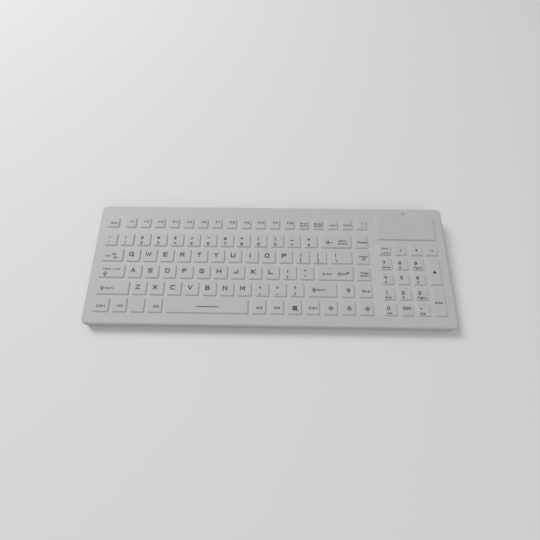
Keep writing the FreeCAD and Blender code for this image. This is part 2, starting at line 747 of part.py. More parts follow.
def screw_plugs():
    """Silicone plugs that close the screw wells flush with the bottom."""
    body = new_body("screw_plugs")
    places = screw_places()
    for name, row in (("front", places[:3]), ("rear", places[3:])):
        y = row[0][1]
        lip = f"({slope(y, 'foot_rise')} + well_wide * tan(deck_tilt) / 2)"

        def mouth(label):
            return new_sketch(body, label, lift=lip)

        at_each("Pad", body, f"{name}_plug", mouth, row, "(well_wide - 2 * plug_clear)", "plug_thick")
    keep(body)


def stiffener_plate():
    """Steel sheet under the board, which the keys press against."""
    body = new_body("stiffener_plate")
    left, front = f"({BOARD_INSET} - {HALF_WIDE})", f"({BOARD_INSET} - {HALF_DEEP})"
    right, back = f"({HALF_WIDE} - {BOARD_INSET})", f"({BOARD_BACK} - rear_strip)"
    sketch = new_sketch(body, "plate_outline", lift=f"-{PLATE_UNDER}")
    outline(sketch, [(left, front), (right, front), (right, NOTCH_FRONT),
                     (NOTCH_LEFT, NOTCH_FRONT), (NOTCH_LEFT, back), (left, back)])
    pad(body, "plate", sketch, "plate_thick")
    at_each("Pocket", body, "plate_hole", lambda name: new_sketch(body, name, lift=f"-{PLATE_UNDER}"),
            screw_places(), "(screw_wide + 2 * plug_clear)", "plate_thick", reverse=True)
    keep(body)


def circuit_board():
    """Board with the key contacts. It passes round the battery bay on two sides."""
    body = new_body("circuit_board")
    left, front = f"({BOARD_INSET} - {HALF_WIDE})", f"({BOARD_INSET} - {HALF_DEEP})"
    right = f"({HALF_WIDE} - {BOARD_INSET})"
    sketch = new_sketch(body, "board_outline", lift=f"-{PLATE_TOP}")
    outline(sketch, [(left, front), (right, front), (right, NOTCH_FRONT), (NOTCH_LEFT, NOTCH_FRONT),
                     (NOTCH_LEFT, NOTCH_BACK), (right, NOTCH_BACK), (right, BOARD_BACK),
                     (left, BOARD_BACK)])
    pad(body, "board", sketch, "board_thick")
    keep(body)


def perimeter_seal():
    """Flat foam ring on the rim of the base, which the skin is pressed onto."""
    body = new_body("perimeter_seal")
    sketch = new_sketch(body, "seal_outline", lift=f"-{RIM_TOP}")
    inset_rectangle(sketch, "(skirt_wall + seal_clear)")
    inset_rectangle(sketch, INNER_INSET)
    ring = pad(body, "seal_ring", sketch, "seal_thick")
    dress("Fillet", body, "seal_corners", ring, at_inset(), "corner_radius - skirt_wall")
    keep(body)


def on_rear_strip(sketch, x, wide, deep):
    """Rectangle centred between the ribs and the rear ledge, on the board's rear strip."""
    middle = f"(({BOARD_BACK} - rear_strip + {HALF_DEEP} - {INNER_INSET} - rear_ledge) / 2)"
    rectangle(sketch, f"{x} - {wide} / 2", f"{middle} - {deep} / 2",
              f"{x} + {wide} / 2", f"{middle} + {deep} / 2")


def controller_chips():
    """Key scanner and its two drivers, soldered under the rear strip of the board."""
    body = new_body("controller_chips")
    sketch = new_sketch(body, "chip_outlines", lift=f"-{PLATE_TOP}")
    for x in ("-chip_pitch", "0", "chip_pitch"):
        on_rear_strip(sketch, x, "chip_wide", "chip_wide")
    pad(body, "chips", sketch, "chip_thick", reverse=True)
    keep(body)


def radio_module():
    """Small radio board with a shield can, soldered under the rear strip beside the chips."""
    body = new_body("radio_module")
    place = "(2 * chip_pitch)"
    board = new_sketch(body, "radio_board_outline", lift=f"-{PLATE_TOP}")
    on_rear_strip(board, place, "radio_wide", "radio_deep")
    pad(body, "radio_board", board, "radio_thick", reverse=True)
    can = new_sketch(body, "radio_can_outline", lift=f"-{PLATE_TOP} - radio_thick")
    on_rear_strip(can, place, "(radio_wide - 2 * radio_margin)", "(radio_deep - radio_margin)")
    pad(body, "radio_can", can, "chip_thick", reverse=True)
    keep(body)


def status_led():
    body = new_body("status_led")
    sketch = new_sketch(body, "led_outline", lift="-skin_thick")
    lamp_rectangle(sketch, "led_wide", "led_deep")
    pad(body, "led", sketch, "led_thick")
    keep(body)


def light_pipe():
    """Tinted window that fills the slot in the skin, just above the light."""
    body = new_body("light_pipe")
    sketch = new_sketch(body, "pipe_outline", lift="-skin_thick + led_thick + 2 * seal_clear")
    lamp_rectangle(sketch, "lamp_wide", "lamp_deep", "lamp_clear")
    pad(body, "pipe", sketch, "skin_thick - led_thick - 2 * seal_clear")
    keep(body)


# the battery bay's contents and its cover, level with the table

BAY_ENDS = {-1: f"({PAD_MIDDLE} - {BAY_LONG} / 2)", 1: f"({PAD_MIDDLE} + {BAY_LONG} / 2)"}
CELL_MIDDLE = f"({COVER_TOP} + cell_clear + cell_wide / 2)"


def cell_rows():
    """The two cells: y of each, and the end of the bay, -1 or 1, that its nib points to."""
    half = "(cell_wide + cell_clear) / 2"
    return [(f"({BAY_PLACE} - {half})", 1), (f"({BAY_PLACE} + {half})", -1)]


def battery_cells():
    body = new_body("battery_cells")
    for y, end in cell_rows():
        name = "front_cell" if end > 0 else "rear_cell"
        nib_end = f"({BAY_ENDS[end]} - {end} * contact_thick)"
        nib = new_sketch(body, name + "_nib", role="YZ_Plane", lift=nib_end)
        circle(nib, y, CELL_MIDDLE, "nib_wide")
        pad(body, name + "_pole", nib, "nib_long", reverse=end > 0)
        can = new_sketch(body, name + "_end", role="YZ_Plane", lift=f"{nib_end} - {end} * nib_long")
        circle(can, y, CELL_MIDDLE, "cell_wide")
        pad(body, name + "_can", can, "cell_long", reverse=end > 0)
    keep(body, tilted=False)


def strip(body, name, y, corners):
    """Metal strip of the contact's width whose side view, in x and z, has these corners."""
    sketch = new_sketch(body, name + "_side", role="XZ_Plane", lift=f"-{y}")
    outline(sketch, corners)
    pad(body, name, sketch, "contact_wide", both=True)


def battery_springs():
    """Leaf springs at the flat ends of the cells, each folded from one strip."""
    body = new_body("battery_springs")
    for y, end in cell_rows():
        def at(reach, rise):
            return (f"{BAY_ENDS[-end]} + {end} * {reach}", f"{CELL_MIDDLE} + {rise}")
        name = "front_spring" if end > 0 else "rear_spring"
        low, high = "(-contact_tall / 2)", "(contact_tall / 2)"
        strip(body, name, y, [
            at("0", low), at("0", high), at("contact_thick", high),
            at("spring_room", "spring_flat"), at("spring_room", "(-spring_flat)"),
            at("(spring_room - contact_thick)", "(-spring_flat)"),
            at("(spring_room - contact_thick)", "(spring_flat - contact_thick)"),
            at("contact_thick", f"({high} - 2 * contact_thick)"), at("contact_thick", low)])
    keep(body, tilted=False)


def battery_contacts():
    """Flat plates against which the cells' nibs press."""
    body = new_body("battery_contacts")
    for y, end in cell_rows():
        name = "front_contact" if end > 0 else "rear_contact"
        wall = BAY_ENDS[end]
        face = f"({wall} - {end} * contact_thick)"
        low, high = f"{CELL_MIDDLE} - contact_tall / 2", f"{CELL_MIDDLE} + contact_tall / 2"
        strip(body, name, y, [(wall, low), (face, low), (face, high), (wall, high)])
    keep(body, tilted=False)


def battery_cover():
    """Plate that closes the bay flush with the bottom, with two recessed screw holes."""
    body = new_body("battery_cover")

    def bottom(name):
        return new_sketch(body, name, lift="foot_rise")

    sketch = bottom("cover_outline")
    bay_rectangle(sketch, "cover_lap_side", "cover_lap_front")
    pad(body, "cover", sketch, "cover_thick")
    at_each("Pocket", body, "cover_through_hole", bottom, cover_screw_places(),
            "(cover_screw_wide + 2 * seal_clear)", "cover_thick", reverse=True)
    at_each("Pocket", body, "cover_sink", bottom, cover_screw_places(),
            "(cover_screw_head + 2 * seal_clear)", "cover_screw_sink", reverse=True)
    keep(body, tilted=False)


def cover_gasket():
    body = new_body("cover_gasket")
    sketch = new_sketch(body, "gasket_outline", lift=COVER_TOP)
    bay_rectangle(sketch, "gasket_inset", "gasket_inset")
    bay_rectangle(sketch, "(gasket_inset + gasket_wide)", "(gasket_inset + gasket_wide)")
    pad(body, "gasket", sketch, "gasket_thick")
    keep(body, tilted=False)


def cover_screws():
    """Captive screws. They stay in the cover when it is lifted off."""
    body = new_body("cover_screws")

    def at_height(lift):
        return lambda name: new_sketch(body, name, lift=lift)

    at_each("Pad", body, "cover_head", at_height("foot_rise"), cover_screw_places(),
            "cover_screw_head", "cover_screw_sink")
    at_each("Pad", body, "cover_shank", at_height("(foot_rise + cover_screw_sink)"),
            cover_screw_places(), "cover_screw_wide",
            f"{LEDGE_UNDER} + post_tall - foot_rise - cover_screw_sink")
    keep(body, tilted=False)


def check_steps():
    """A pocket has to take material away, and a pad has to add some."""
    for kind, feature in steps:
        base = feature.BaseFeature
        before = base.Shape.Volume if base else 0.0
        change = feature.Shape.Volume - before
        if (change <= 0.0) if kind == "Pad" else (change >= 0.0):
            raise RuntimeError(f"{feature.Label} changes the volume by {change:.1f}")
    for cut in cuts:
        if cut.Shape.Volume >= cut.Base.Shape.Volume:
            raise RuntimeError(f"{cut.Label}: its tools cut nothing")


def check_parts():
    for thing in doc.Objects:
        if "Invalid" in thing.State or "Error" in thing.State:
            raise RuntimeError(f"{thing.Label} failed: {thing.State}")
    for thing in parts:
        if thing.Shape.isNull() or not thing.Shape.isValid():
            raise RuntimeError(f"{thing.Label} has no valid shape")


def write_parts():
    os.makedirs("parts", exist_ok=True)
    for thing in parts:
        thing.Shape.exportStep(f"parts/{thing.Label}.step")


base_shell()
rubber_feet()
base_screws()
screw_plugs()
stiffener_plate()
circuit_board()
controller_chips()
radio_module()
status_led()
light_pipe()
perimeter_seal()
battery_cells()
battery_springs()
battery_contacts()
battery_cover()
cover_gasket()
cover_screws()
main_keys()
function_keys()
pad_keys()
keypad_skin()

doc.recompute()
check_steps()
check_parts()
write_parts()
print(f"{len(parts)} sub-parts, {sum(len(thing.Shape.Solids) for thing in parts)} solids")
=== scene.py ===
import json
import math

import bmesh
import bpy
from mathutils import Matrix, Vector


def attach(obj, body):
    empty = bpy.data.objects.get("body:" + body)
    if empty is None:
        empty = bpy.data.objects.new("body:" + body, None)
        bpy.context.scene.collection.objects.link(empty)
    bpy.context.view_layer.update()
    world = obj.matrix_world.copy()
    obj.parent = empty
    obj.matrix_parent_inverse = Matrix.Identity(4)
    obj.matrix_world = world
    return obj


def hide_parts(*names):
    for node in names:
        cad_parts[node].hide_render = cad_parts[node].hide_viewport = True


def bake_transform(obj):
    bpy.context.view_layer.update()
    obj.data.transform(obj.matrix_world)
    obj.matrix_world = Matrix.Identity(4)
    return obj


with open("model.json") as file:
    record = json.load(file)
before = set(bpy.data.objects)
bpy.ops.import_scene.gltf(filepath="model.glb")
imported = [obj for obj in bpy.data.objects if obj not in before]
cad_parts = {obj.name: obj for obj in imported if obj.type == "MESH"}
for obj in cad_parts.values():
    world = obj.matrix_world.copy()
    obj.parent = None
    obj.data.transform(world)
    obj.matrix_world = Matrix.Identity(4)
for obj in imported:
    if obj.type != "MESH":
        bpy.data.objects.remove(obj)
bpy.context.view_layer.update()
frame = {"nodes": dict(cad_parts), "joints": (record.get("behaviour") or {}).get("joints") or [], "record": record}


# Studio: a pale table top and pale walls, a broad soft lamp behind the left shoulder of the
# keyboard and a weak one in front. The camera looks down from above the front edge, a little right
# of the middle. Each lamp has a place, a width in metres and a power in watts.

MM = 0.001
CAMERA_PLACE = (4.57 * MM, -141.25 * MM, 343.2 * MM)
CAMERA_ELEVATION = 67.89
CAMERA_AZIMUTH = 1.79
CAMERA_ROLL = -0.94
CAMERA_LENS = 21.21
SENSOR_WIDTH = 36.0
FLOOR_HALF = 3.0
FLOOR_COLOUR = (0.71, 0.71, 0.70, 1.0)
ROOM_LIGHT = 0.41
ROOM_WALLS = 0.62
WHITE = (1.0, 1.0, 1.0, 1.0)
LAMPS = {"key_lamp": ((-1.20, 1.10, 1.65), 1.0, 32.0),
         "fill_lamp": ((0.30, -1.20, 1.45), 1.2, 6.5)}


def node(tree, kind, inputs=None, **settings):
    """Add a shader node. An input is a plain value, or the socket that feeds it."""
    made = tree.nodes.new(kind)
    for name, value in settings.items():
        setattr(made, name, value)
    for name, value in (inputs or {}).items():
        if isinstance(value, bpy.types.NodeSocket):
            tree.links.new(value, made.inputs[name])
        else:
            made.inputs[name].default_value = value
    return made


def new_material(name):
    material = bpy.data.materials.new(name)
    material.use_nodes = True
    material.node_tree.nodes.clear()
    return material, material.node_tree


def finish_material(tree, shader):
    node(tree, "ShaderNodeOutputMaterial", {"Surface": shader.outputs[0]})


def table_top_material():
    """Matt pale paint. Seen from below, and for the light that bounces, it isn't there."""
    material, tree = new_material("table_top")
    paint = node(tree, "ShaderNodeBsdfDiffuse", {"Color": FLOOR_COLOUR})
    clear = node(tree, "ShaderNodeBsdfTransparent")
    side = node(tree, "ShaderNodeNewGeometry")
    ray = node(tree, "ShaderNodeLightPath")
    open_for = node(tree, "ShaderNodeMath", {0: side.outputs["Backfacing"],
                                             1: ray.outputs["Is Diffuse Ray"]}, operation="MAXIMUM")
    mix = node(tree, "ShaderNodeMixShader", {0: open_for.outputs[0],
                                             1: paint.outputs[0], 2: clear.outputs[0]})
    finish_material(tree, mix)
    return material


def soft_room():
    """A plain room: weak even light on the object, pale walls to the camera and in gloss."""
    world = bpy.data.worlds.new("soft_room")
    world.use_nodes = True
    tree = world.node_tree
    ray = node(tree, "ShaderNodeLightPath")
    mirrored = node(tree, "ShaderNodeMath", {0: ray.outputs["Is Glossy Ray"],
                                             1: ray.outputs["Is Transmission Ray"]},
                    operation="MAXIMUM")
    seen = node(tree, "ShaderNodeMath", {0: ray.outputs["Is Camera Ray"],
                                         1: mirrored.outputs[0]}, operation="MAXIMUM")
    strength = node(tree, "ShaderNodeMapRange", {"Value": seen.outputs[0], "To Min": ROOM_LIGHT,
                                                 "To Max": ROOM_WALLS})
    air = tree.nodes["Background"]
    air.inputs["Color"].default_value = WHITE
    tree.links.new(strength.outputs[0], air.inputs["Strength"])
    bpy.context.scene.world = world


def add_lamp(name, place, width, power):
    """A square lamp that faces the middle of the keyboard."""
    lamp = bpy.data.lights.new(name, "AREA")
    lamp.size = width
    lamp.energy = power
    holder = bpy.data.objects.new(name, lamp)
    bpy.context.scene.collection.objects.link(holder)
    holder.location = place
    holder.rotation_euler = Vector(place).to_track_quat("Z", "Y").to_euler()


def new_object(name, mesh):
    made = bpy.data.objects.new(name, mesh)
    bpy.context.scene.collection.objects.link(made)
    return made


def studio():
    corners = [(-FLOOR_HALF, -FLOOR_HALF, 0), (FLOOR_HALF, -FLOOR_HALF, 0),
               (FLOOR_HALF, FLOOR_HALF, 0), (-FLOOR_HALF, FLOOR_HALF, 0)]
    mesh = bpy.data.meshes.new("table_top")
    mesh.from_pydata(corners, [], [(0, 1, 2, 3)])
    mesh.materials.append(table_top_material())
    new_object("table_top", mesh)

    soft_room()
    for name, (place, width, power) in LAMPS.items():
        add_lamp(name, place, width, power)

    camera = bpy.data.cameras.new("camera")
    camera.lens = CAMERA_LENS
    camera.sensor_width = SENSOR_WIDTH
    holder = bpy.data.objects.new("camera", camera)
    bpy.context.scene.collection.objects.link(holder)
    holder.matrix_world = (
        Matrix.Translation(CAMERA_PLACE)
        @ Matrix.Rotation(math.radians(CAMERA_AZIMUTH), 4, "Z")
        @ Matrix.Rotation(math.radians(90 - CAMERA_ELEVATION), 4, "X")
        @ Matrix.Rotation(math.radians(CAMERA_ROLL), 4, "Z")
    )
    bpy.context.scene.camera = holder
    bpy.context.scene.view_settings.view_transform = "Standard"


studio()


# Base: one injection moulded tray in pale grey ABS with a spark-eroded texture. Its wall shows
# under the skirt of the skin, and its flat bottom carries the feet, the screws and the bay.

GRAIN_SCALE = 5200.0
CLOUD_SCALE = 60.0
SOFT_DEPTH = 0.1
BUMP_HEIGHT = 0.1 * MM
GLOSS_DRIFT = 0.06
# The tray's grey is set a little darker than the skin's. That step is painted shade, for its front wall, which
# sits in shadow under the skin's rim.
BASE_COLOUR_WITH_PAINTED_SHADE = (0.408, 0.400, 0.398, 1.0)
BASE_DARK_WITH_PAINTED_SHADE = (0.347, 0.340, 0.338, 1.0)
BASE_EDGE = (0.510, 0.500, 0.497, 1.0)
BASE_ROUNDING = 0.30 * MM
BEVEL_ANGLE = math.radians(35)


def new_group(name, values, masks):
    """Start a node group that takes values and puts out masks and a normal."""
    group = bpy.data.node_groups.new(name, "ShaderNodeTree")
    for label, value in values.items():
        socket = group.interface.new_socket(label, in_out="INPUT", socket_type="NodeSocketFloat")
        socket.default_value = value
    for label in masks:
        group.interface.new_socket(label, in_out="OUTPUT", socket_type="NodeSocketFloat")
    group.interface.new_socket("Normal", in_out="OUTPUT", socket_type="NodeSocketVector")
    inside = node(group, "NodeGroupInput")
    place = node(group, "ShaderNodeTexCoord").outputs["Object"]
    return group, inside, place


def moulded_grain_group():
    """Fine matt texture of a mould's wall, a cloudy mask for tone and gloss, and one for edges."""
    group, inside, place = new_group(
        "moulded_grain",
        {"Grain Scale": GRAIN_SCALE, "Depth": SOFT_DEPTH, "Cloud Scale": CLOUD_SCALE},
        ("Cloud", "Edge"))
    grain = node(group, "ShaderNodeTexNoise", {
        "Vector": place, "Scale": inside.outputs["Grain Scale"], "Detail": 2.0})
    cloud = node(group, "ShaderNodeTexNoise", {
        "Vector": place, "Scale": inside.outputs["Cloud Scale"], "Detail": 4.0})
    sharp = node(group, "ShaderNodeNewGeometry").outputs["Pointiness"]
    edge = node(group, "ShaderNodeMapRange", {
        "Value": sharp, "From Min": 0.52, "From Max": 0.62, "To Min": 0.0, "To Max": 1.0})
    rubbed = node(group, "ShaderNodeMath", {0: edge.outputs[0], 1: cloud.outputs["Fac"]},
                  operation="MULTIPLY")
    bump = node(group, "ShaderNodeBump", {
        "Strength": inside.outputs["Depth"], "Distance": BUMP_HEIGHT,
        "Height": grain.outputs["Fac"]})
    node(group, "NodeGroupOutput", {"Cloud": cloud.outputs["Fac"], "Edge": rubbed.outputs[0],
                                    "Normal": bump.outputs[0]})
    return group


MOULDED_GRAIN = moulded_grain_group()


def moulded_material(name, light, dark, edge, rough, depth, cloud_scale=CLOUD_SCALE):
    """Matt moulded surface: tone and gloss drift slowly, and the edges are rubbed."""
    material, tree = new_material(name)
    grain = node(tree, "ShaderNodeGroup", node_tree=MOULDED_GRAIN)
    grain.inputs["Depth"].default_value = depth
    grain.inputs["Cloud Scale"].default_value = cloud_scale
    tone = node(tree, "ShaderNodeMix", {0: grain.outputs["Cloud"], 6: dark, 7: light},
                data_type="RGBA")
    worn = node(tree, "ShaderNodeMix", {0: grain.outputs["Edge"], 6: tone.outputs[2], 7: edge},
                data_type="RGBA")
    gloss = node(tree, "ShaderNodeMapRange", {
        "Value": grain.outputs["Cloud"], "From Min": 0.3, "From Max": 0.7,
        "To Min": rough - GLOSS_DRIFT, "To Max": rough + GLOSS_DRIFT})
    shader = node(tree, "ShaderNodeBsdfPrincipled", {
        "Base Color": worn.outputs[2], "Roughness": gloss.outputs[0],
        "Normal": grain.outputs["Normal"]})
    finish_material(tree, shader)
    return material


def dress_node(name, material, rounding):
    """A CAD node that keeps its own shape gets a material and softly rounded edges."""
    thing = frame["nodes"][name]
    thing.data.materials.clear()
    thing.data.materials.append(material)
    bevel = thing.modifiers.new("rounded_edges", "BEVEL")
    bevel.width = rounding
    bevel.segments = 2
    bevel.limit_method = "ANGLE"
    bevel.angle_limit = BEVEL_ANGLE
    weigh = thing.modifiers.new("even_normals", "WEIGHTED_NORMAL")
    weigh.keep_sharp = True


# This material carries the painted shade in the tray's grey, on the base and on the battery cover.
BASE_PLASTIC_WITH_PAINTED_SHADE = moulded_material("base_plastic_with_painted_shade", BASE_COLOUR_WITH_PAINTED_SHADE, BASE_DARK_WITH_PAINTED_SHADE, BASE_EDGE,
                                rough=0.55, depth=0.25)
dress_node("base_shell", BASE_PLASTIC_WITH_PAINTED_SHADE, BASE_ROUNDING)


# Feet: six round rubber feet pressed into seats of the base. Each has a soft rim and a shallow
# dimple in the middle, so it grips like a cup. A profile is a list of radius and height.

FOOT_SIDES = 48
FOOT_PROFILE = [(2.2, 0.30), (2.6, 0.08), (2.9, 0.0), (4.2, 0.0), (4.6, 0.08), (4.88, 0.32),
                (5.0, 0.7), (5.0, 2.1)]
RUBBER = (0.05, 0.05, 0.052, 1.0)
RUBBER_DARK = (0.025, 0.025, 0.026, 1.0)
RUBBER_EDGE = (0.12, 0.12, 0.12, 1.0)
SMOOTH_ANGLE = math.radians(40)
WELD_GAP = 0.01 * MM


def add_rings(shape, rings, cap_first=False, cap_last=False, loop=False, material=0):
    """Join rings of as many points each into walls. Ends are closed, or joined, where asked."""
    rows = [[shape.verts.new(point) for point in ring] for ring in rings]
    faces = []
    for low, high in zip(rows, rows[1:] + rows[:1] if loop else rows[1:]):
        for i in range(len(low)):
            j = (i + 1) % len(low)
            faces.append(shape.faces.new((low[i], low[j], high[j], high[i])))
    if cap_first:
        faces.append(shape.faces.new(list(reversed(rows[0]))))
    if cap_last:
        faces.append(shape.faces.new(rows[-1]))
    for face in faces:
        face.material_index = material
    return rows


def round_ring(radius, height, sides, place):
    """Points round a circle, laid out by a matrix."""
    turns = [2 * math.pi * i / sides for i in range(sides)]
    return [place @ Vector((radius * math.cos(turn), radius * math.sin(turn), height))
            for turn in turns]


def add_turned(shape, profile, place, sides=FOOT_SIDES, material=0):
    """A closed turned form. The radius and height of its profile are in millimetres."""
    rings = [round_ring(radius * MM, height * MM, sides, place) for radius, height in profile]
    return add_rings(shape, rings, cap_first=True, cap_last=True, material=material)


def finish_piece(name, shape, materials, matrix=Matrix()):
    """Turn a bmesh into a smooth shaded object with crisp edges."""
    bmesh.ops.recalc_face_normals(shape, faces=shape.faces)
    mesh = bpy.data.meshes.new(name)
    shape.to_mesh(mesh)
    shape.free()
    mesh.transform(matrix)
    mesh.shade_smooth()
    mesh.set_sharp_from_angle(angle=SMOOTH_ANGLE)
    for material in materials:
        mesh.materials.append(material)
    made = new_object(name, mesh)
    weigh = made.modifiers.new("even_normals", "WEIGHTED_NORMAL")
    weigh.keep_sharp = True
    return made


def stand_for(piece, body, name):
    """The piece rides on a body and is shown in place of a CAD node."""
    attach(piece, body)
    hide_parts(name)


def solids_of(name, turn=Matrix()):
    """Lowest and highest corner of each solid of a CAD node, front to back, in turned axes."""
    shape = bmesh.new()
    shape.from_mesh(frame["nodes"][name].data)
    bmesh.ops.transform(shape, matrix=turn.inverted(), verts=shape.verts)
    bmesh.ops.remove_doubles(shape, verts=shape.verts, dist=WELD_GAP)
    unseen = set(shape.verts)
    boxes = []
    while unseen:
        found, waiting = [], [unseen.pop()]
        while waiting:
            vertex = waiting.pop()
            found.append(vertex.co.copy())
            others = [edge.other_vert(vertex) for edge in vertex.link_edges]
            waiting += [other for other in others if other in unseen]
            unseen.difference_update(others)
        boxes.append(tuple(Vector([pick(point[axis] for point in found) for axis in range(3)])
                           for pick in (min, max)))
    shape.free()
    return sorted(boxes, key=lambda box: (round(box[0].y / WELD_GAP), box[0].x))


def under_middle(box):
    """Matrix that puts a turned form's start under the middle of a solid."""
    low, high = box
    return Matrix.Translation(((low.x + high.x) / 2, (low.y + high.y) / 2, low.z))


def rubber_feet():
    shape = bmesh.new()
    for box in solids_of("rubber_feet"):
        add_turned(shape, FOOT_PROFILE, under_middle(box))
    rubber = moulded_material("rubber", RUBBER, RUBBER_DARK, RUBBER_EDGE,
                              rough=0.7, depth=0.3, cloud_scale=150.0)
    stand_for(finish_piece("moulded_feet", shape, [rubber]), "casing", "rubber_feet")


rubber_feet()


# Screws of the base: six zinc plated pan head screws with a cross recess. They come up through
# the bosses, along the tilt of the deck, into the steel plate.

SCREW_SIDES = 32
SCREW_HEAD = [(1.9, 0.0), (2.4, 0.12), (2.7, 0.45), (2.8, 0.9), (2.8, 1.9)]
SCREW_SHANK = 1.5
THREAD_PITCH = 0.6
THREAD_ROOT = 0.84
THREAD_END = 0.8
CROSS_REACH = 0.62
CROSS_ARM = 0.22
CROSS_FLOOR_REACH = 0.8
CROSS_FLOOR_ARM = 0.16
CROSS_DEPTH = 0.6
KEY_RISE = 1.4 * MM
GLOSS_BELOW = 0.08
GLOSS_ABOVE = 0.12
ZINC = (0.62, 0.62, 0.60, 1.0)
ZINC_DARK = (0.40, 0.40, 0.39, 1.0)
DRAWN_OUT = (0.04, 1.0, 1.0)


def metal_wear_group():
    """Fine scratches along one axis, with a cloudy tarnish mask."""
    group, inside, place = new_group(
        "metal_wear", {"Scratch Scale": 900.0, "Tarnish Scale": 120.0, "Depth": SOFT_DEPTH},
        ("Scratch", "Tarnish"))
    drawn = node(group, "ShaderNodeMapping", {"Vector": place, "Scale": DRAWN_OUT})
    scratch = node(group, "ShaderNodeTexNoise", {
        "Vector": drawn.outputs[0], "Scale": inside.outputs["Scratch Scale"], "Detail": 3.0})
    tarnish = node(group, "ShaderNodeTexNoise", {
        "Vector": place, "Scale": inside.outputs["Tarnish Scale"], "Detail": 5.0})
    bump = node(group, "ShaderNodeBump", {
        "Strength": inside.outputs["Depth"], "Distance": BUMP_HEIGHT,
        "Height": scratch.outputs["Fac"]})
    node(group, "NodeGroupOutput", {"Scratch": scratch.outputs["Fac"],
                                    "Tarnish": tarnish.outputs["Fac"],
                                    "Normal": bump.outputs[0]})
    return group


METAL_WEAR = metal_wear_group()


def metal_material(name, bright, dull, rough):
    """Plated or rolled metal: duller in patches, scratched along its rolling."""
    material, tree = new_material(name)
    wear = node(tree, "ShaderNodeGroup", node_tree=METAL_WEAR)
    tone = node(tree, "ShaderNodeMix", {0: wear.outputs["Tarnish"], 6: bright, 7: dull},
                data_type="RGBA")
    gloss = node(tree, "ShaderNodeMapRange", {
        "Value": wear.outputs["Scratch"], "From Min": 0.3, "From Max": 0.7,
        "To Min": rough - GLOSS_BELOW, "To Max": rough + GLOSS_ABOVE})
    shader = node(tree, "ShaderNodeBsdfPrincipled", {
        "Base Color": tone.outputs[2], "Metallic": 1.0, "Roughness": gloss.outputs[0],
        "Normal": wear.outputs["Normal"]})
    finish_material(tree, shader)
    return material


def fill_between(shape, outer, holes):
    """Flat sheet between an outer row of vertices and the rows round its holes."""
    edges = []
    for row in [outer, *holes]:
        for i, vertex in enumerate(row):
            ends = (vertex, row[(i + 1) % len(row)])
            edges.append(shape.edges.get(ends) or shape.edges.new(ends))
    bmesh.ops.triangle_fill(shape, use_beauty=True, edges=edges, normal=(0, 0, 1))


def cross_ring(reach, half, height, place):
    """Outline of a screwdriver's cross: four arms of this reach and half width."""
    quarter = [(reach, -half), (reach, half), (half, half)]
    ring = []
    for turn in range(4):
        for x, y in quarter:
            ring.append(place @ (Matrix.Rotation(math.pi / 2 * turn, 4, "Z")
                                 @ Vector((x * MM, y * MM, height * MM))))
    return ring


def add_screw(shape, place, head, shank, length):
    """Screw that stands on its head. The head is a profile from its recessed face to its seat."""
    (face, start), (_, seat) = head[0], head[-1]
    reach = CROSS_REACH * face
    profile = head + [(shank, seat)]
    height = seat + THREAD_PITCH
    while height + THREAD_PITCH < length:
        profile += [(shank, height), (THREAD_ROOT * shank, height + THREAD_PITCH / 2)]
        height += THREAD_PITCH
    profile += [(shank, height), (THREAD_END * shank, length)]
    rows = add_rings(shape, [round_ring(radius * MM, level * MM, SCREW_SIDES, place)
                             for radius, level in profile], cap_last=True)
    recess = add_rings(shape, [cross_ring(reach, CROSS_ARM * reach, start, place),
                               cross_ring(CROSS_FLOOR_REACH * reach, CROSS_FLOOR_ARM * reach,
                                          CROSS_DEPTH * seat, place)], cap_last=True)
    fill_between(shape, rows[0], [recess[0]])


def deck_matrix():
    """Matrix from deck axes to the frame: z is 0 on the skin between the keys."""
    normal = Vector(frame["joints"][0]["axis"])
    turn = Matrix.Rotation(math.atan2(-normal.y, normal.z), 4, "X")
    (low, high), = solids_of("keypad_skin", turn)
    return turn @ Matrix.Translation((0, (low.y + high.y) / 2, high.z - KEY_RISE))


DECK = deck_matrix()
ZINC_STEEL = metal_material("zinc_steel", ZINC, ZINC_DARK, rough=0.32)


def base_screws():
    shape = bmesh.new()
    for box in solids_of("base_screws", DECK):
        length = (box[1].z - box[0].z) / MM
        add_screw(shape, DECK @ under_middle(box), SCREW_HEAD, SCREW_SHANK, length)
    stand_for(finish_piece("pan_head_screws", shape, [ZINC_STEEL]), "casing", "base_screws")


base_screws()


# Plugs: soft silicone stoppers that close the six screw wells flush with the bottom. A small
# dimple lets a pin lift them out.

PLUG_PROFILE = [(0.5, 0.35), (0.75, 0.06), (0.95, 0.0), (2.8, 0.0), (3.02, 0.07), (3.12, 0.3),
                (3.12, 1.6)]
# The plugs take the base's grey, with the same painted shade in it.
PLUG_LIGHT_WITH_PAINTED_SHADE = (0.408, 0.400, 0.398, 1.0)
PLUG_DARK_WITH_PAINTED_SHADE = (0.337, 0.330, 0.328, 1.0)


def screw_plugs():
    shape = bmesh.new()
    for box in solids_of("screw_plugs", DECK):
        add_turned(shape, PLUG_PROFILE, DECK @ under_middle(box))
    silicone = moulded_material("plug_silicone_with_painted_shade", PLUG_LIGHT_WITH_PAINTED_SHADE, PLUG_DARK_WITH_PAINTED_SHADE, BASE_EDGE,
                                rough=0.6, depth=0.2)
    stand_for(finish_piece("soft_plugs", shape, [silicone]), "casing", "screw_plugs")


screw_plugs()


# Stiffener plate: one millimetre of cold rolled steel on the ribs of the base. It backs the
# board where the fingers press, and the base screws bite into it.

ROLLED = (0.50, 0.50, 0.51, 1.0)
ROLLED_DARK = (0.30, 0.30, 0.31, 1.0)
SHEET_ROUNDING = 0.12 * MM

dress_node("stiffener_plate", metal_material("rolled_steel", ROLLED, ROLLED_DARK, rough=0.42),
           SHEET_ROUNDING)


# Circuit board: green glass epoxy with fine tracks under the lacquer. Under each key lies a pair
# of gold plated combs, which the key's carbon pill bridges.

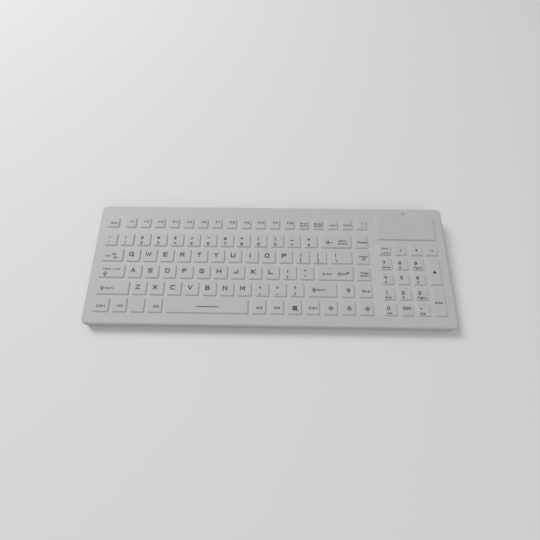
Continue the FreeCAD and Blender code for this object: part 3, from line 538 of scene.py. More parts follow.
LACQUER = (0.012, 0.11, 0.045, 1.0)
TRACK = (0.03, 0.19, 0.075, 1.0)
TRACK_LONG = 31.0
TRACK_PITCH = 1.0
TRACK_GAP = 0.22
TRACK_SHIFT = 0.37
GOLD = (0.90, 0.66, 0.26, 1.0)
GOLD_DARK = (0.62, 0.42, 0.15, 1.0)
FINGERS_EACH_SIDE = 2
COMB_FINGER = 0.55 * MM
COMB_PITCH = 1.1 * MM
COMB_SPINE = 2.4 * COMB_PITCH
COMB_LONG = 4.6 * MM
COMB_THICK = 0.03 * MM
SKIN_THICK = 3.0 * MM

KEY_NODES = [name for body, names in frame["record"]["behaviour"]["bodies"].items()
             if body.endswith("_press") for name in names]


def footprints(name, turn=DECK):
    """Left, front, right and back edge of each separate solid of a CAD node."""
    return [(low.x, low.y, high.x, high.y) for low, high in solids_of(name, turn)]


KEYS = {name: footprints(name) for name in KEY_NODES}


def middle_of(box):
    """Middle of a rectangle, across and up the deck."""
    left, front, right, back = box
    return (left + right) / 2, (front + back) / 2


def box_about(x, y, across, up):
    """Rectangle about a point, from half its width and half its depth."""
    return (x - across, y - up, x + across, y + up)


def board_material():
    """Lacquer over long parallel tracks, glossier in some patches than in others."""
    material, tree = new_material("board_lacquer")
    place = node(tree, "ShaderNodeTexCoord").outputs["Object"]
    tracks = node(tree, "ShaderNodeTexBrick", {
        "Vector": place, "Scale": 1 / MM, "Brick Width": TRACK_LONG, "Row Height": TRACK_PITCH,
        "Mortar Size": TRACK_GAP, "Mortar Smooth": 0.1, "Mortar": (0.0, 0.0, 0.0, 1.0),
        "Color1": (0.2, 0.2, 0.2, 1.0), "Color2": WHITE}, offset=TRACK_SHIFT)
    stain = node(tree, "ShaderNodeTexNoise", {"Vector": place, "Scale": 90.0, "Detail": 4.0})
    tone = node(tree, "ShaderNodeMix", {0: tracks.outputs["Color"], 6: LACQUER, 7: TRACK},
                data_type="RGBA")
    gloss = node(tree, "ShaderNodeMapRange", {"Value": stain.outputs["Fac"],
                                              "To Min": 0.2, "To Max": 0.45})
    bump = node(tree, "ShaderNodeBump", {"Strength": 0.4, "Distance": BUMP_HEIGHT,
                                         "Height": tracks.outputs["Color"]})
    shader = node(tree, "ShaderNodeBsdfPrincipled", {
        "Base Color": tone.outputs[2], "Roughness": gloss.outputs[0],
        "Normal": bump.outputs[0]})
    finish_material(tree, shader)
    return material


def flat_ring(box, height):
    """The four corners of a rectangle at a height."""
    left, front, right, back = box
    return [(left, front, height), (right, front, height), (right, back, height),
            (left, back, height)]


def contact_combs():
    """Two combs with their fingers in turn, on the board under the middle of each key."""
    shape = bmesh.new()
    low, high = -SKIN_THICK - COMB_THICK, -SKIN_THICK + COMB_THICK
    for key in [box for boxes in KEYS.values() for box in boxes]:
        x, y = middle_of(key)
        bars = []
        for count in range(-FINGERS_EACH_SIDE, FINGERS_EACH_SIDE + 1):
            shift = COMB_FINGER * (1 if count % 2 else -1)
            bars.append(box_about(x + count * COMB_PITCH, y + shift,
                                  COMB_FINGER / 2, COMB_LONG / 2))
        for side in (-1, 1):
            spine = y + side * (COMB_LONG / 2 + COMB_FINGER)
            bars.append(box_about(x, spine, COMB_SPINE, COMB_FINGER / 2))
        for bar in bars:
            add_rings(shape, [flat_ring(bar, low), flat_ring(bar, high)],
                      cap_first=True, cap_last=True)
    gold = metal_material("gold_plate", GOLD, GOLD_DARK, rough=0.28)
    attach(finish_piece("key_contact_combs", shape, [gold], DECK), "casing")


dress_node("circuit_board", board_material(), SHEET_ROUNDING)
contact_combs()


# Chips: the key scanner and its two drivers, in black epoxy with tinned legs on four sides,
# soldered under the rear strip of the board.

EPOXY = (0.022, 0.022, 0.024, 1.0)
EPOXY_DARK = (0.012, 0.012, 0.013, 1.0)
EPOXY_EDGE = (0.08, 0.08, 0.08, 1.0)
TIN = (0.72, 0.72, 0.70, 1.0)
TIN_DARK = (0.50, 0.50, 0.49, 1.0)
CASE_DRAFT = [(0.0, 0.25), (0.04, 0.12), (0.5, 0.0), (0.95, 0.12)]
DOT_PROFILE = [(0.35, 0.02), (0.35, 0.1)]
DOT_INSET = 1.0 * MM
LEGS_EACH_SIDE = 3
LEG_PITCH = 0.8 * MM
LEG_HALF = 0.2 * MM
LEG_LONG = 0.5 * MM
LEG_OUTLINE = [(-1.3, 0.0), (-0.5, 0.0), (-0.3, 0.7), (0.0, 0.7), (0.0, 1.0), (-0.6, 1.0),
               (-0.9, 0.3), (-1.3, 0.3)]

TINNED = metal_material("tinned_metal", TIN, TIN_DARK, rough=0.30)


def grown(box, amount):
    """A rectangle made larger all round, or smaller where the amount is below zero."""
    left, front, right, back = box
    return (left - amount, front - amount, right + amount, back + amount)


def add_chip_legs(shape, low, high):
    """Bent legs on the four sides. Their outline is in leg lengths and half heights of the case."""
    middle = (low + high) / 2
    reach, top = (high.x - low.x) / 2, (high.z - low.z) / 2
    for turn in range(4):
        way = Matrix.Translation(middle) @ Matrix.Rotation(math.pi / 2 * turn, 4, "Z")
        for count in range(-LEGS_EACH_SIDE, LEGS_EACH_SIDE + 1):
            x = count * LEG_PITCH
            rings = [[way @ Vector((side, reach + out * LEG_LONG, up * top))
                      for out, up in LEG_OUTLINE] for side in (x - LEG_HALF, x + LEG_HALF)]
            add_rings(shape, rings, cap_first=True, cap_last=True, material=1)


def controller_chips():
    shape = bmesh.new()
    for low, high in solids_of("controller_chips", DECK):
        case = grown((low.x, low.y, high.x, high.y), -LEG_LONG)
        rings = [flat_ring(grown(case, -draw * MM), low.z + part * (high.z - low.z))
                 for part, draw in CASE_DRAFT]
        add_rings(shape, rings, cap_first=True, cap_last=True)
        dot = Matrix.Translation((case[0] + DOT_INSET, case[3] - DOT_INSET, low.z))
        add_turned(shape, DOT_PROFILE, dot, SCREW_SIDES, material=1)
        add_chip_legs(shape, low, high)
    epoxy = moulded_material("chip_epoxy", EPOXY, EPOXY_DARK, EPOXY_EDGE,
                             rough=0.45, depth=0.2, cloud_scale=300.0)
    stand_for(finish_piece("legged_chips", shape, [epoxy, TINNED], DECK), "casing",
              "controller_chips")


controller_chips()


# Radio module: a small board with a drawn tin can over its parts, soldered beside the chips.
# The status light behind the raised panel is a small diode in a pale resin case.

CAN_ROUNDING = 0.25 * MM
RESIN = (0.80, 0.77, 0.62, 1.0)
RESIN_DARK = (0.66, 0.62, 0.45, 1.0)

dress_node("radio_module", TINNED, CAN_ROUNDING)
dress_node("status_led", moulded_material("led_resin", RESIN, RESIN_DARK, RESIN,
                                          rough=0.3, depth=0.05), SHEET_ROUNDING)


# Light window: a rod of smoked acrylic pressed into the slot of the skin. It brings the light of
# the diode up to the surface and looks grey while the keyboard sleeps.

SMOKE = (0.27, 0.265, 0.262, 1.0)
SMOKE_DARK = (0.21, 0.206, 0.204, 1.0)
WINDOW_EDGE = [(0.0, 0.16), (0.08, 0.05), (0.25, 0.0)]
CORNER_STEPS = 6
CORNER_SPARE = 0.01 * MM


def rounded_ring(box, inset, corner, height):
    """Points round a rectangle with round corners, drawn in by an inset."""
    left, front, right, back = grown(box, -inset)
    points = []
    for quarter, (x, y) in enumerate([(right, front), (right, back), (left, back), (left, front)]):
        middle = Vector((x + (corner if x == left else -corner),
                         y + (corner if y == front else -corner)))
        for step in range(CORNER_STEPS + 1):
            angle = math.pi / 2 * (quarter - 1 + step / CORNER_STEPS)
            points.append((middle.x + corner * math.cos(angle),
                           middle.y + corner * math.sin(angle), height))
    return points


def light_window():
    (low, high), = solids_of("light_pipe", DECK)
    box, = footprints("light_pipe")
    round_end = (high.y - low.y) / 2 - CORNER_SPARE
    outline = [(0.0, low.z)] + [(inset * MM, high.z - drop * MM) for inset, drop in WINDOW_EDGE]
    shape = bmesh.new()
    add_rings(shape, [rounded_ring(box, inset, round_end - inset, height)
                      for inset, height in outline], cap_first=True, cap_last=True)
    smoke = moulded_material("smoked_acrylic", SMOKE, SMOKE_DARK, SMOKE, rough=0.2, depth=0.02)
    stand_for(finish_piece("smoked_window", shape, [smoke], DECK), "casing", "light_pipe")


light_window()


# Seals: a flat ring of closed cell foam on the rim of the base, pressed by the skin, and a
# silicone ring round the mouth of the battery bay.

FOAM = (0.045, 0.045, 0.047, 1.0)
FOAM_DARK = (0.02, 0.02, 0.021, 1.0)
SOFT_ROUNDING = 0.1 * MM

CELL_FOAM = moulded_material("cell_foam", FOAM, FOAM_DARK, RUBBER_EDGE,
                             rough=0.85, depth=0.6, cloud_scale=2400.0)
GASKET_SILICONE = moulded_material("gasket_silicone", RUBBER, RUBBER_DARK, RUBBER_EDGE,
                                   rough=0.55, depth=0.15, cloud_scale=200.0)
dress_node("perimeter_seal", CELL_FOAM, SOFT_ROUNDING)
dress_node("cover_gasket", GASKET_SILICONE, SOFT_ROUNDING)


# Battery cells: two plain AAA cells in a plain two-tone film, head to tail. The steel can shows at
# the crimped end and round the pole. Points are given as millimetres in from the cell's radius, and
# along it from the crimped end or from the shoulder.

CELL_SIDES = 64
CRIMP = [(1.1, 0.0), (0.7, 0.25), (0.35, 0.05), (0.1, 0.3)]
FILM_START = [(0.1, 0.3), (0.0, 0.5)]
BAND_START = -9.0
BAND_END = [(0.0, -0.6), (0.25, -0.1)]
SHOULDER = [(0.25, -0.1), (0.9, -0.35)]
POLE_RADIUS = 1.9
POLE_LONG = 1.0
POLE_EDGE_IN = 0.3
POLE_EDGE_DOWN = 0.2
SEAM_GAP = 0.001 * MM
FILM = (0.09, 0.11, 0.15, 1.0)
FILM_DARK = (0.06, 0.075, 0.11, 1.0)
FILM_BAND = (0.55, 0.36, 0.12, 1.0)
FILM_BAND_DARK = (0.40, 0.26, 0.09, 1.0)


def film_material():
    """Glossy dark shrink film. The bronze band near the pole has its own material."""
    material, tree = new_material("cell_film")
    wear = node(tree, "ShaderNodeGroup", node_tree=METAL_WEAR)
    tone = node(tree, "ShaderNodeMix", {0: wear.outputs["Tarnish"], 6: FILM, 7: FILM_DARK},
                data_type="RGBA")
    shader = node(tree, "ShaderNodeBsdfPrincipled", {
        "Base Color": tone.outputs[2], "Metallic": 0.35, "Roughness": 0.3, "Coat Weight": 0.5,
        "Normal": wear.outputs["Normal"]})
    finish_material(tree, shader)
    return material


def battery_cells():
    shape = bmesh.new()
    for count, (low, high) in enumerate(solids_of("battery_cells")):
        radius = (high.z - low.z) / 2 / MM
        length = (high.x - low.x) / MM
        end = low.x if count == 0 else high.x
        way = Matrix.Rotation(math.pi / 2 if count == 0 else -math.pi / 2, 4, "Y")
        place = Matrix.Translation((end, (low.y + high.y) / 2, (low.z + high.z) / 2)) @ way
        shoulder = length - POLE_LONG
        seam = (radius, shoulder + BAND_START)
        can = [(radius - inset, along) for inset, along in CRIMP]
        film = [(radius - inset, along) for inset, along in FILM_START] + [seam]
        band = [seam] + [(radius - inset, shoulder + along) for inset, along in BAND_END]
        pole = [(radius - inset, shoulder + along) for inset, along in SHOULDER]
        pole += [(POLE_RADIUS, shoulder), (POLE_RADIUS, length - POLE_EDGE_DOWN),
                 (POLE_RADIUS - POLE_EDGE_IN, length)]
        for run, material in ((can, 0), (film, 1), (band, 2), (pole, 0)):
            rings = [round_ring(wide * MM, along * MM, CELL_SIDES, place) for wide, along in run]
            add_rings(shape, rings, cap_first=run is can, cap_last=run is pole, material=material)
    bmesh.ops.remove_doubles(shape, verts=shape.verts, dist=SEAM_GAP)
    bronze = metal_material("bronze_film", FILM_BAND, FILM_BAND_DARK, rough=0.3)
    stand_for(finish_piece("filmed_cells", shape, [TINNED, film_material(), bronze]), "casing",
              "battery_cells")


battery_cells()


# Battery contacts: leaf springs and flat plates bent from nickel plated steel strip, at the ends
# of the bay.

NICKEL = (0.66, 0.63, 0.57, 1.0)
NICKEL_DARK = (0.46, 0.44, 0.40, 1.0)
SPRING_ROUNDING = 0.06 * MM
CONTACT_ROUNDING = 0.08 * MM

NICKEL_STRIP = metal_material("nickel_strip", NICKEL, NICKEL_DARK, rough=0.26)
dress_node("battery_springs", NICKEL_STRIP, SPRING_ROUNDING)
dress_node("battery_contacts", NICKEL_STRIP, CONTACT_ROUNDING)


# Battery cover: a flat moulded plate, flush with the bottom, with two counterbored holes. It
# lifts off straight down with its captive screws.

COVER_EDGE = [(0.35, 0.0), (0.12, 0.08), (0.0, 0.35)]
COVER_TOP_EDGE = 0.15
COVER_CORNER = 1.0
HOLE_SIDES = 40
COUNTERBORE = [(2.35, 0.0), (2.2, 0.12), (2.2, 1.0), (1.1, 1.0)]
CAPTIVE_HEAD = [(1.85, 0.0), (2.02, 0.08), (2.1, 0.25), (2.1, 1.0)]
CAPTIVE_SHANK = 1.0


def battery_cover():
    (low, high), = solids_of("battery_cover")
    box, = footprints("battery_cover", Matrix())
    thick = (high.z - low.z) / MM
    edge = COVER_EDGE + [(0.0, thick - COVER_TOP_EDGE), (COVER_TOP_EDGE, thick)]
    shape = bmesh.new()
    rows = add_rings(shape, [rounded_ring(box, inset * MM, (COVER_CORNER - inset) * MM,
                                          low.z + level * MM) for inset, level in edge])
    hole = COUNTERBORE + [(COUNTERBORE[-1][0], thick)]
    bottoms, tops = [], []
    for screw in solids_of("cover_screws"):
        wall = add_rings(shape, [round_ring(radius * MM, level * MM, HOLE_SIDES,
                                            under_middle(screw)) for radius, level in hole])
        bottoms.append(wall[0])
        tops.append(wall[-1])
    fill_between(shape, rows[0], bottoms)
    fill_between(shape, rows[-1], tops)
    stand_for(finish_piece("flush_cover", shape, [BASE_PLASTIC_WITH_PAINTED_SHADE]), "cover", "battery_cover")


def cover_screws():
    shape = bmesh.new()
    for box in solids_of("cover_screws"):
        length = (box[1].z - box[0].z) / MM
        add_screw(shape, under_middle(box), CAPTIVE_HEAD, CAPTIVE_SHANK, length)
    stand_for(finish_piece("captive_screws", shape, [ZINC_STEEL]), "cover", "cover_screws")


battery_cover()
cover_screws()


# Keypad skin: one compression moulded silicone sheet, pale grey and matt. A rounded rim and a
# skirt close over the base. Each key stands in its own opening of the sheet, and the raised blank
# panel behind the number pad is part of it.

PAD_RISE = 1.385 * MM
SKIRT_DROP = 7.5 * MM
SKIRT_WALL = 2.0 * MM
SKIRT_LIP = 0.4 * MM
LIP_STEP = 0.3 * SKIRT_LIP
CORNER_RADIUS = 6.0 * MM
RIM_RADIUS = 3.0 * MM
RIM_STEPS = 8
KEY_CLEAR = 0.3 * MM
LAMP_CLEAR = 0.05 * MM
OPENING_CORNER = 2.0 * MM
LEAST_CORNER = 0.7 * MM
FOOT_RADIUS = 0.45 * MM
TOP_RADIUS = 0.6 * MM
PANEL_FOOT = 0.7 * MM
FLANK_ANGLE = math.radians(54)
FLANK_STEPS = 4
SILICONE_LIGHT = (0.484, 0.474, 0.471, 1.0)
SILICONE_DARK = (0.444, 0.434, 0.431, 1.0)
SILICONE_EDGE = (0.510, 0.500, 0.497, 1.0)

SILICONE = moulded_material("silicone", SILICONE_LIGHT, SILICONE_DARK, SILICONE_EDGE,
                            rough=0.62, depth=0.18)


def flank_profile():
    """Inset and height of points up a key's flank: a hollow foot, a slope and a round top edge."""
    turns = [FLANK_ANGLE * step / FLANK_STEPS for step in range(FLANK_STEPS + 1)]
    gain = (FOOT_RADIUS + TOP_RADIUS) * (1 - math.cos(FLANK_ANGLE))
    slope = (PAD_RISE - gain) / math.tan(FLANK_ANGLE)
    reach = (FOOT_RADIUS + TOP_RADIUS) * math.sin(FLANK_ANGLE) + slope
    foot = [(FOOT_RADIUS * math.sin(turn), FOOT_RADIUS * (1 - math.cos(turn))) for turn in turns]
    top = [(reach - TOP_RADIUS * math.sin(turn), PAD_RISE - TOP_RADIUS * (1 - math.cos(turn)))
           for turn in reversed(turns)]
    return foot + top


FLANK = flank_profile()


def flank_rings(box):
    """The rings of a flank that rises from this outline."""
    return [rounded_ring(box, inset, max(OPENING_CORNER - inset, LEAST_CORNER), height)
            for inset, height in FLANK]


def panel_box():
    """The raised panel: the highest flat of the CAD skin."""
    inside = DECK.inverted()
    top = [inside @ vertex.co for vertex in frame["nodes"]["keypad_skin"].data.vertices]
    top = [point for point in top if point.z > KEY_RISE / 2]
    return (min(p.x for p in top), min(p.y for p in top),
            max(p.x for p in top), max(p.y for p in top))


def lamp_slot():
    """The opening of the skin round the light window."""
    window, = footprints("light_pipe")
    return grown(window, LAMP_CLEAR)


OPENINGS = {name: [grown(box, KEY_CLEAR) for box in boxes] for name, boxes in KEYS.items()}


def keypad_skin():
    shape = bmesh.new()
    box, = footprints("keypad_skin")
    rim = []
    for step in range(RIM_STEPS + 1):
        turn = math.pi / 2 * step / RIM_STEPS
        rim.append((RIM_RADIUS * (1 - math.sin(turn)), RIM_RADIUS * (math.cos(turn) - 1)))
    rim += [(0.0, SKIRT_LIP - SKIRT_DROP), (LIP_STEP, LIP_STEP - SKIRT_DROP),
            (SKIRT_LIP, -SKIRT_DROP), (SKIRT_WALL, -SKIRT_DROP), (SKIRT_WALL, -SKIN_THICK)]
    rows = add_rings(shape, [rounded_ring(box, inset, CORNER_RADIUS - inset, height)
                             for inset, height in rim])
    tops, bottoms = [], []
    holes = [(opening, OPENING_CORNER) for openings in OPENINGS.values() for opening in openings]
    slot = lamp_slot()
    holes.append((slot, (slot[3] - slot[1]) / 2 - CORNER_SPARE))
    for hole, corner in holes:
        wall = add_rings(shape, [rounded_ring(hole, 0.0, corner, height)
                                 for height in (0.0, -SKIN_THICK)])
        tops.append(wall[0])
        bottoms.append(wall[1])
    panel = add_rings(shape, flank_rings(grown(panel_box(), PANEL_FOOT)), cap_last=True)
    fill_between(shape, rows[0], tops + [panel[0]])
    fill_between(shape, rows[-1], bottoms)
    stand_for(finish_piece("silicone_skin", shape, [SILICONE], DECK), "casing", "keypad_skin")


keypad_skin()


# Keys: soft pads moulded in one with the skin. The thin flank of each pad rises from the skin
# to the key's top, and a stiff core under the top carries a carbon pill down to the board.

WEB_DROP = 0.5 * MM
WEB_END = 0.85 * PAD_RISE
CORE_INSET = 2.2 * MM
CORE_CORNER = 0.8 * MM
CORE_TOP = 1.15 * MM
CORE_EDGE = 0.2 * MM
KEY_DROP = 1.2 * MM
PILL_HALF = 2.5 * MM
PILL_THICK = 0.3 * MM
CARBON = (0.02, 0.02, 0.02, 1.0)
CARBON_DARK = (0.01, 0.01, 0.01, 1.0)

CARBON_PILL = moulded_material("carbon_pill", CARBON, CARBON_DARK, EPOXY_EDGE,
                               rough=0.75, depth=0.3, cloud_scale=800.0)


def key_pads(name):
    """The soft tops and flanks of the keys of one node."""
    shape = bmesh.new()
    for opening in OPENINGS[name]:
        below = rounded_ring(opening, 0.0, OPENING_CORNER, -WEB_DROP)
        add_rings(shape, [below] + flank_rings(opening), cap_first=True, cap_last=True)
    piece = finish_piece(name + "_web", shape, [SILICONE], DECK)
    start, end = DECK @ Vector((0, 0, 0)), DECK @ Vector((0, 0, WEB_END))
    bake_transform(piece)
    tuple(start)
    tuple(end)
    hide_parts(name)


def key_cores(name):
    """The stiff cores of the same keys, with their pills."""
    shape = bmesh.new()
    levels = [(-KEY_DROP, CORE_INSET + CORE_EDGE), (CORE_EDGE - KEY_DROP, CORE_INSET),
              (CORE_TOP, CORE_INSET)]
    for box in KEYS[name]:
        x, y = middle_of(box)
        add_rings(shape, [rounded_ring(box, inset, CORE_CORNER, height)
                          for height, inset in levels], cap_first=True, cap_last=True)
        pill = box_about(x, y, PILL_HALF, PILL_HALF)
        add_rings(shape, [rounded_ring(pill, 0.0, CORE_CORNER, height)
                          for height in (-KEY_DROP - PILL_THICK, -KEY_DROP + PILL_THICK)],
                  cap_first=True, cap_last=True, material=1)
    piece = finish_piece(name + "_core", shape, [SILICONE, CARBON_PILL], DECK)
    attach(piece, name + "_press")


for name in KEY_NODES:
    key_pads(name)
    key_cores(name)


# Legends: thin prints on the key tops, in a broad square letter with round bends. Letters stand
# above the middle of a key and a little left, and the lower signs of a key near its front. Two of
# the system keys carry a plain ring, and the last key of the function row a faint sign.

PRINT_THICK = 0.03 * MM
PRINT_STEP = 0.002 * MM
PRINT_LEVELS = 4
STROKE = 1.7
WORD_STROKE = 1.8
ICON_STROKE = 1.1
OWN_STROKES = {"ring": 1.8, "menu": 1.5, "return": 0.8, "Alt": 2.0, "Ctrl": 2.0, "_": 2.3,
               "-": 2.3, "+": 2.4, "=": 2.0, '"': 2.0, "'": 2.4}
BEND = 1.6
BEND_STEPS = 4
LEAST_STEP = 0.01
SHARPEST_MITRE = 0.5
CAP_HEIGHT = 6
BASE_LINE = 2
LETTER_SIZE = 5.2
SIGN_SIZE = 3.5
NUMBER_SIZE = 3.7
WORD_SIZE = 2.6
SMALL_SIZE = 2.2
SMALL_ARROW_SIZE = 3.2
ARROW_SIZE = 5.6
INK_DARK = (0.012, 0.012, 0.013, 1.0)
INK_PALE = (0.088, 0.087, 0.086, 1.0)
INK_FAINT = (0.31, 0.305, 0.302, 1.0)
BAR_HALF = 12.1 * MM
BAR_HALF_WIDE = 0.55 * MM
BAR_RIGHT = 0.8 * MM
BAR_FRONT = 0.6 * MM

# Strokes on a grid, two figures (across, up) for each point. A tilde rounds the stroke's bends.
GLYPHS = {
    "A": "023862 1454", "B": "0208 ~08585505 ~05656202", "C": "~68080262",
    "D": "0208 ~08686202", "E": "68080262 0555", "F": "680802 0555",
    "G": "~68080262 6535 6265", "H": "0208 6268 0565", "I": "0208", "J": "~58520204",
    "K": "0208 681562", "L": "080262", "M": "0208346862", "N": "02086268",
    "O": "~380802626838", "P": "0208 ~08686505", "Q": "~380802626838 4471",
    "R": "0208 ~08686505 3562", "S": "~680805656202", "T": "0868 3832", "U": "~08026268",
    "V": "083268", "W": "0822476288", "X": "0268 0862", "Y": "083568 3532", "Z": "08680262",
    "0": "~380802525838", "1": "071812", "2": "~085855050252", "3": "~08585202 1555",
    "4": "~080555 5852", "5": "~580805555202", "6": "~580802525505", "7": "085822",
    "8": "~380802525838 0555", "9": "~025258080555",
    "a": "~064642 ~44040242", "b": "0802 ~06464202", "c": "~46060242",
    "d": "4842 ~46060242", "e": "~420206464404", "f": "~381812 0636",
    "g": "~46060242 ~464000", "h": "0802 ~064642", "i": "0602 08", "k": "0802 460442",
    "l": "0802", "m": "0206 ~063632 ~366662", "n": "0206 ~064642", "o": "~260602424626",
    "p": "0006 ~06464202", "r": "0206 0636", "s": "~460604444202", "t": "~181232 0636",
    "u": "~06024246", "w": "0612355266",
    "~": "~05163445", "`": "0816", "!": "0804 02", "@": "~6202086864343666",
    "#": "2228 4248 0464 0666", "$": "~680805656202 3931", "%": "0268 17 53",
    "^": "062846", "&": "~621728484604024265", "*": "2428 0547 0745", "(": "~29070321",
    ")": "~09272301", "_": "0272", "-": "0545", "+": "0545 2327", "=": "0343 0646",
    "{": "~29171605141321", "}": "~09171625141301", "[": "29090121", "]": "09292101",
    "|": "0901", "\\": "0832", "/": "0238", ":": "0212 0313 0515 0616",
    ";": "0515 0616 0313 1301", '"': "0806 3836", "'": "0806", "<": "470543", ">": "074503",
    ",": "0212 0313 1301", ".": "0212 0313", "?": "~070848452524 22",
    "up": "3865454222250538", "down": "3265454828250532",
    "left": "0538366664343205", "right": "6538360604343265",
    "back": "05383205 3585", "return": "05282666889874242205",
    "menu": "0868620208 0666 0464 5380", "upload": "4349 274967 0181", "ring": "~370703636737",
}


def rounded_stroke(points):
    """Replace each bend of a stroke by a short curve."""
    closed = points[0] == points[-1]
    smooth = [points[0]]
    for before, bend, after in zip(points, points[1:], points[2:]):
        reach = [min(BEND, (end - bend).length / 2) for end in (before, after)]
        start = bend + (before - bend).normalized() * reach[0]
        stop = bend + (after - bend).normalized() * reach[1]
        for step in range(BEND_STEPS + 1):
            part = step / BEND_STEPS
            smooth.append(start.lerp(bend, part).lerp(bend.lerp(stop, part), part))
    smooth.append(points[-1])
    kept = [smooth[0]] + [b for a, b in zip(smooth, smooth[1:]) if (b - a).length > LEAST_STEP]
    if closed:
        kept[-1] = kept[0]
    return kept


def stroke_sides(points, half):
    """Left and right point beside each point of a stroke, mitred at its bends."""
    closed = points[0] == points[-1] and len(points) > 2
    path = points[:-1] if closed else points
    count = len(path)
    sides = []
    for i, point in enumerate(path):
        before = path[i - 1] if i or closed else None
        after = path[(i + 1) % count] if i < count - 1 or closed else None
        ways = [(b - a).normalized() for a, b in ((before, point), (point, after))
                if a is not None and b is not None]
        way = sum(ways, Vector((0, 0))).normalized()
        spread = half / max(way.dot(ways[0]), SHARPEST_MITRE)
        end = Vector((0, 0)) if len(ways) == 2 else way * half * (1 if before else -1)
        across = Vector((-way.y, way.x)) * spread
        sides.append((point + end + across, point + end - across))
    return sides, closed


def glyph_strokes(sign):
    """The strokes of one sign as lists of grid points."""
    for run in GLYPHS[sign].split():
        figures = run.lstrip("~")
        points = [Vector((int(figures[i]), int(figures[i + 1]))) for i in range(0, len(figures), 2)]
        if len(points) == 1:
            points.append(points[0] + Vector((LEAST_STEP, 0)))
        yield rounded_stroke(points) if run.startswith("~") and len(run) > 1 else points


def print_mark(shape, text, x, y, size, stretch=1.0):
    """Add one word or sign, centred on a point of the deck. Sizes are in millimetres."""
    unit = size * MM / (CAP_HEIGHT + STROKE)
    strokes, pen = [], 0.0
    for sign in [text] if text in GLYPHS else text:
        if sign == " ":
            pen += CAP_HEIGHT
            continue
        runs = list(glyph_strokes(sign))
        strokes += [[point + Vector((pen, 0)) for point in run] for run in runs]
        pen += max(point.x for run in runs for point in run) + 2 * STROKE
    middle = Vector(((pen - 2 * STROKE) / 2, BASE_LINE + CAP_HEIGHT / 2))
    usual = STROKE if len(text) == 1 else ICON_STROKE if text in GLYPHS else WORD_STROKE
    half = OWN_STROKES.get(text, usual) / 2
    for count, points in enumerate(strokes):
        sides, closed = stroke_sides(points, half)
        low, high = KEY_RISE - PRINT_THICK, KEY_RISE - count % PRINT_LEVELS * PRINT_STEP
        rings = []
        for pair in sides:
            left, right = [(x + (p.x - middle.x) * unit * stretch, y + (p.y - middle.y) * unit)
                           for p in pair]
            rings.append([(*left, low), (*right, low), (*right, high), (*left, high)])
        add_rings(shape, rings, cap_first=not closed, cap_last=not closed, loop=closed)


def letter(sign):
    """One mark: its sign or word, its place across and up from the key's middle, and its size."""
    return [(sign, -2.1, 1.1, LETTER_SIZE)]


def pair(upper, lower):
    """Two small signs, one above the other."""
    return [(upper, -2.4, 2.2, SIGN_SIZE), (lower, -2.4, -4.1, SIGN_SIZE)]


def word(text, x=0.8, y=-0.5, size=WORD_SIZE):
    return [(text, x, y, size)]


def lines(upper, lower, x=0.8, y=1.1, drop=3.1, stretch=1.0):
    """Two small words, one above the other."""
    return [(upper, x, y, SMALL_SIZE, stretch), (lower, x, y - drop, SMALL_SIZE, stretch)]


def number(sign, *lower):
    """A number pad key: a figure, with a word or an arrow and its place below it."""
    return [(sign, -2.5, 1.6, NUMBER_SIZE)] + [
        (text, x, -3.6, SMALL_ARROW_SIZE if text in GLYPHS else SMALL_SIZE) for text, x in lower]


def function_keys(first, last):
    return [[(f"F{count}", 0.9, 1.4, WORD_SIZE)] for count in range(first, last + 1)]


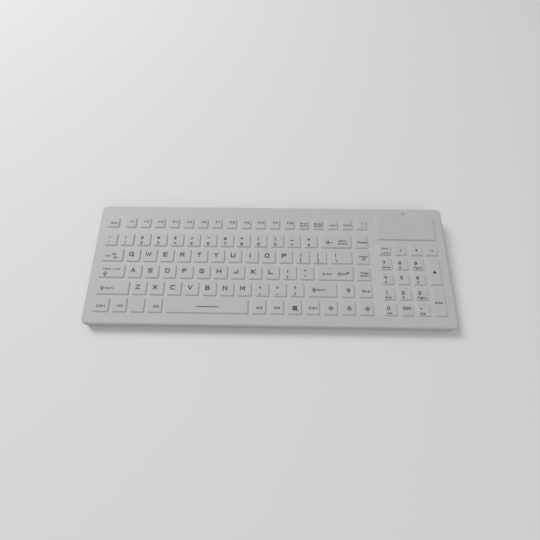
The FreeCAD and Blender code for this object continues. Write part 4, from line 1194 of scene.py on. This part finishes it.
# A mark is the sign or word, its place across and up in millimetres, its size and its stretch.
LEGENDS = {
    "esc_key": [word("Esc")],
    "f1_to_f4_keys": function_keys(1, 4),
    "f5_to_f8_keys": function_keys(5, 8),
    "f9_to_f12_keys": function_keys(9, 12),
    "print_to_delete_keys": [lines("Prnt", "Scrn", 0.0, 0.9, 2.8),
                             lines("Pause", "Break", 0.0, 0.9, 2.8, 0.85),
                             [("Insert", 0.3, -0.8, 1.9, 0.9)],
                             [("Delete", 0.3, -0.5, 1.9, 0.9)]],
    "grave_key": [pair("~", "`")],
    "left_digit_keys": [pair(*signs) for signs in ("!1", "@2", "#3", "$4", "%5", "^6")],
    "right_digit_keys": [pair(*signs) for signs in ("&7", "*8", "(9", ")0", "_-", "+=")],
    "backspace_key": [[("back", -7.9, -1.2, 5.0, 1.35)] + lines("Back", "Space", 7.4, 1.1, 3.5)],
    "tab_key": [word("Tab", -5.4, -1.3, 2.1)
                + [("left", 1.4, 0.8, 4.0, 1.4), ("right", 3.6, -3.2, 4.0, 1.4)]],
    "q_to_t_keys": [letter(sign) for sign in "QWERT"],
    "y_to_bracket_keys": [letter(sign) for sign in "YUIOP"] + [pair("{", "["), pair("}", "]")],
    "backslash_key": [[("|", -6.2, 2.4, SIGN_SIZE), ("\\", -5.8, -3.8, SIGN_SIZE)]],
    "caps_lock_key": [word("Caps Lock", -0.6, 2.4, 2.15) + word("up", -6.9, -3.2, ARROW_SIZE)],
    "a_to_g_keys": [letter(sign) for sign in "ASDFG"],
    "h_to_quote_keys": [letter(sign) for sign in "HJKL"] + [pair(":", ";"), pair('"', "'")],
    "enter_key": [word("Enter", -9.0, -0.6, 2.2) + [("return", 8.4, -0.5, 4.9, 2.2)]],
    "left_shift_key": [word("up", -11.3, -0.7, ARROW_SIZE) + word("Shift", -3.8, -0.7, 2.2)],
    "z_to_b_keys": [letter(sign) for sign in "ZXCVB"],
    "n_to_slash_keys": [letter(sign) for sign in "NM"]
                       + [pair(*signs) for signs in ("<,", ">.", "?/")],
    "right_shift_key": [word("up", -9.0, 0.3, ARROW_SIZE) + word("Shift", -1.2, 0.3, 2.2)],
    "left_ctrl_key": [word("Ctrl", 0.1, -1.3, 2.8)],
    "left_alt_key": [word("Alt", 1.1, -1.0, 2.8)],
    "right_alt_key": [word("Alt", 0.4, -1.1, 2.8)],
    "menu_key": [word("menu", 0.6, -0.9, 4.8)],
    "right_ctrl_key": [word("Ctrl", 0.5, -0.7, 2.8)],
    "up_key": [word("up", 1.0, 0.5, ARROW_SIZE)],
    "left_key": [word("left", 0.2, -0.6, ARROW_SIZE)],
    "down_key": [word("down", 0.7, -0.6, ARROW_SIZE)],
    "right_key": [word("right", 1.0, -0.5, ARROW_SIZE)],
    "page_keys": [word("End"), lines("Page", "Down"), lines("Page", "Up"), word("Home")],
    "num_top_keys": [lines("Num", "Lock", -0.1, 1.9, 5.6), word("/", 0.2, size=3.6),
                     word("*", 0.3, size=3.4), word("-", 0.2, size=3.9)],
    "num_789_keys": [number("7", ("Home", -0.7)), number("8", ("up", -2.6)),
                     number("9", ("PgUp", -0.7))],
    "num_456_keys": [number("4", ("left", -2.5)), number("5"), number("6", ("right", -2.5))],
    "num_123_keys": [number("1", ("End", -1.4)), number("2", ("down", -2.6)),
                     number("3", ("PgDn", -0.8))],
    "num_zero_keys": [number("0", ("Ins", -1.7)), [("000", -0.4, 1.8, 3.3, 0.85)],
                      [(".", -2.9, 3.0, 4.4), ("Del", -1.6, -3.6, SMALL_SIZE)]],
    "num_plus_key": [word("+", -0.5, -0.4, 4.3)],
    "num_enter_key": [[("Enter", -0.5, -0.4, 2.3, 0.8)]],
}
PALE_LEGENDS = {
    "left_system_keys": [[("ring", 0.7, -0.9, 3.2, 1.9)], []],
    "right_system_key": [[("ring", 0.4, -0.9, 3.2, 1.9)]],
}
FAINT_LEGENDS = {"symbol_key": [word("upload", 0.7, 0.2, 5.2)]}


def ink_material(name, colour):
    """Dense ink, a little worn: it lets the silicone show through where fingers rub it."""
    material, tree = new_material(name)
    grain = node(tree, "ShaderNodeGroup", node_tree=MOULDED_GRAIN)
    grain.inputs["Cloud Scale"].default_value = 900.0
    wear = node(tree, "ShaderNodeMapRange", {
        "Value": grain.outputs["Cloud"], "From Min": 0.60, "From Max": 0.85,
        "To Min": 0.0, "To Max": 0.30})
    tone = node(tree, "ShaderNodeMix", {0: wear.outputs[0], 6: colour, 7: SILICONE_LIGHT},
                data_type="RGBA")
    shader = node(tree, "ShaderNodeBsdfPrincipled", {
        "Base Color": tone.outputs[2], "Roughness": 0.5, "Normal": grain.outputs["Normal"]})
    finish_material(tree, shader)
    return material


def print_legends(legends, suffix, ink):
    """Print the marks of each key of each node in the table, as one piece for each node."""
    for name, keys in legends.items():
        shape = bmesh.new()
        for box, marks in zip(KEYS[name], keys):
            x, y = middle_of(box)
            for text, across, up, size, *stretch in marks:
                print_mark(shape, text, x + across * MM, y + up * MM, size, *stretch)
        piece = finish_piece(name + suffix, shape, [ink], DECK)
        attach(piece, name + "_press")


def space_bar_line():
    shape = bmesh.new()
    x, y = middle_of(KEYS["space_bar"][0])
    line = box_about(x + BAR_RIGHT, y - BAR_FRONT, BAR_HALF, BAR_HALF_WIDE)
    add_rings(shape, [rounded_ring(line, 0.0, BAR_HALF_WIDE - CORNER_SPARE, height)
                      for height in (KEY_RISE - PRINT_THICK, KEY_RISE)],
              cap_first=True, cap_last=True)
    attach(finish_piece("space_bar_line", shape, [PALE_INK], DECK), "space_bar_press")


DARK_INK = ink_material("dark_ink", INK_DARK)
PALE_INK = ink_material("pale_ink", INK_PALE)
FAINT_INK = ink_material("faint_ink", INK_FAINT)
print_legends(LEGENDS, "_print", DARK_INK)
print_legends(PALE_LEGENDS, "_pale_print", PALE_INK)
print_legends(FAINT_LEGENDS, "_pale_print", FAINT_INK)
space_bar_line()
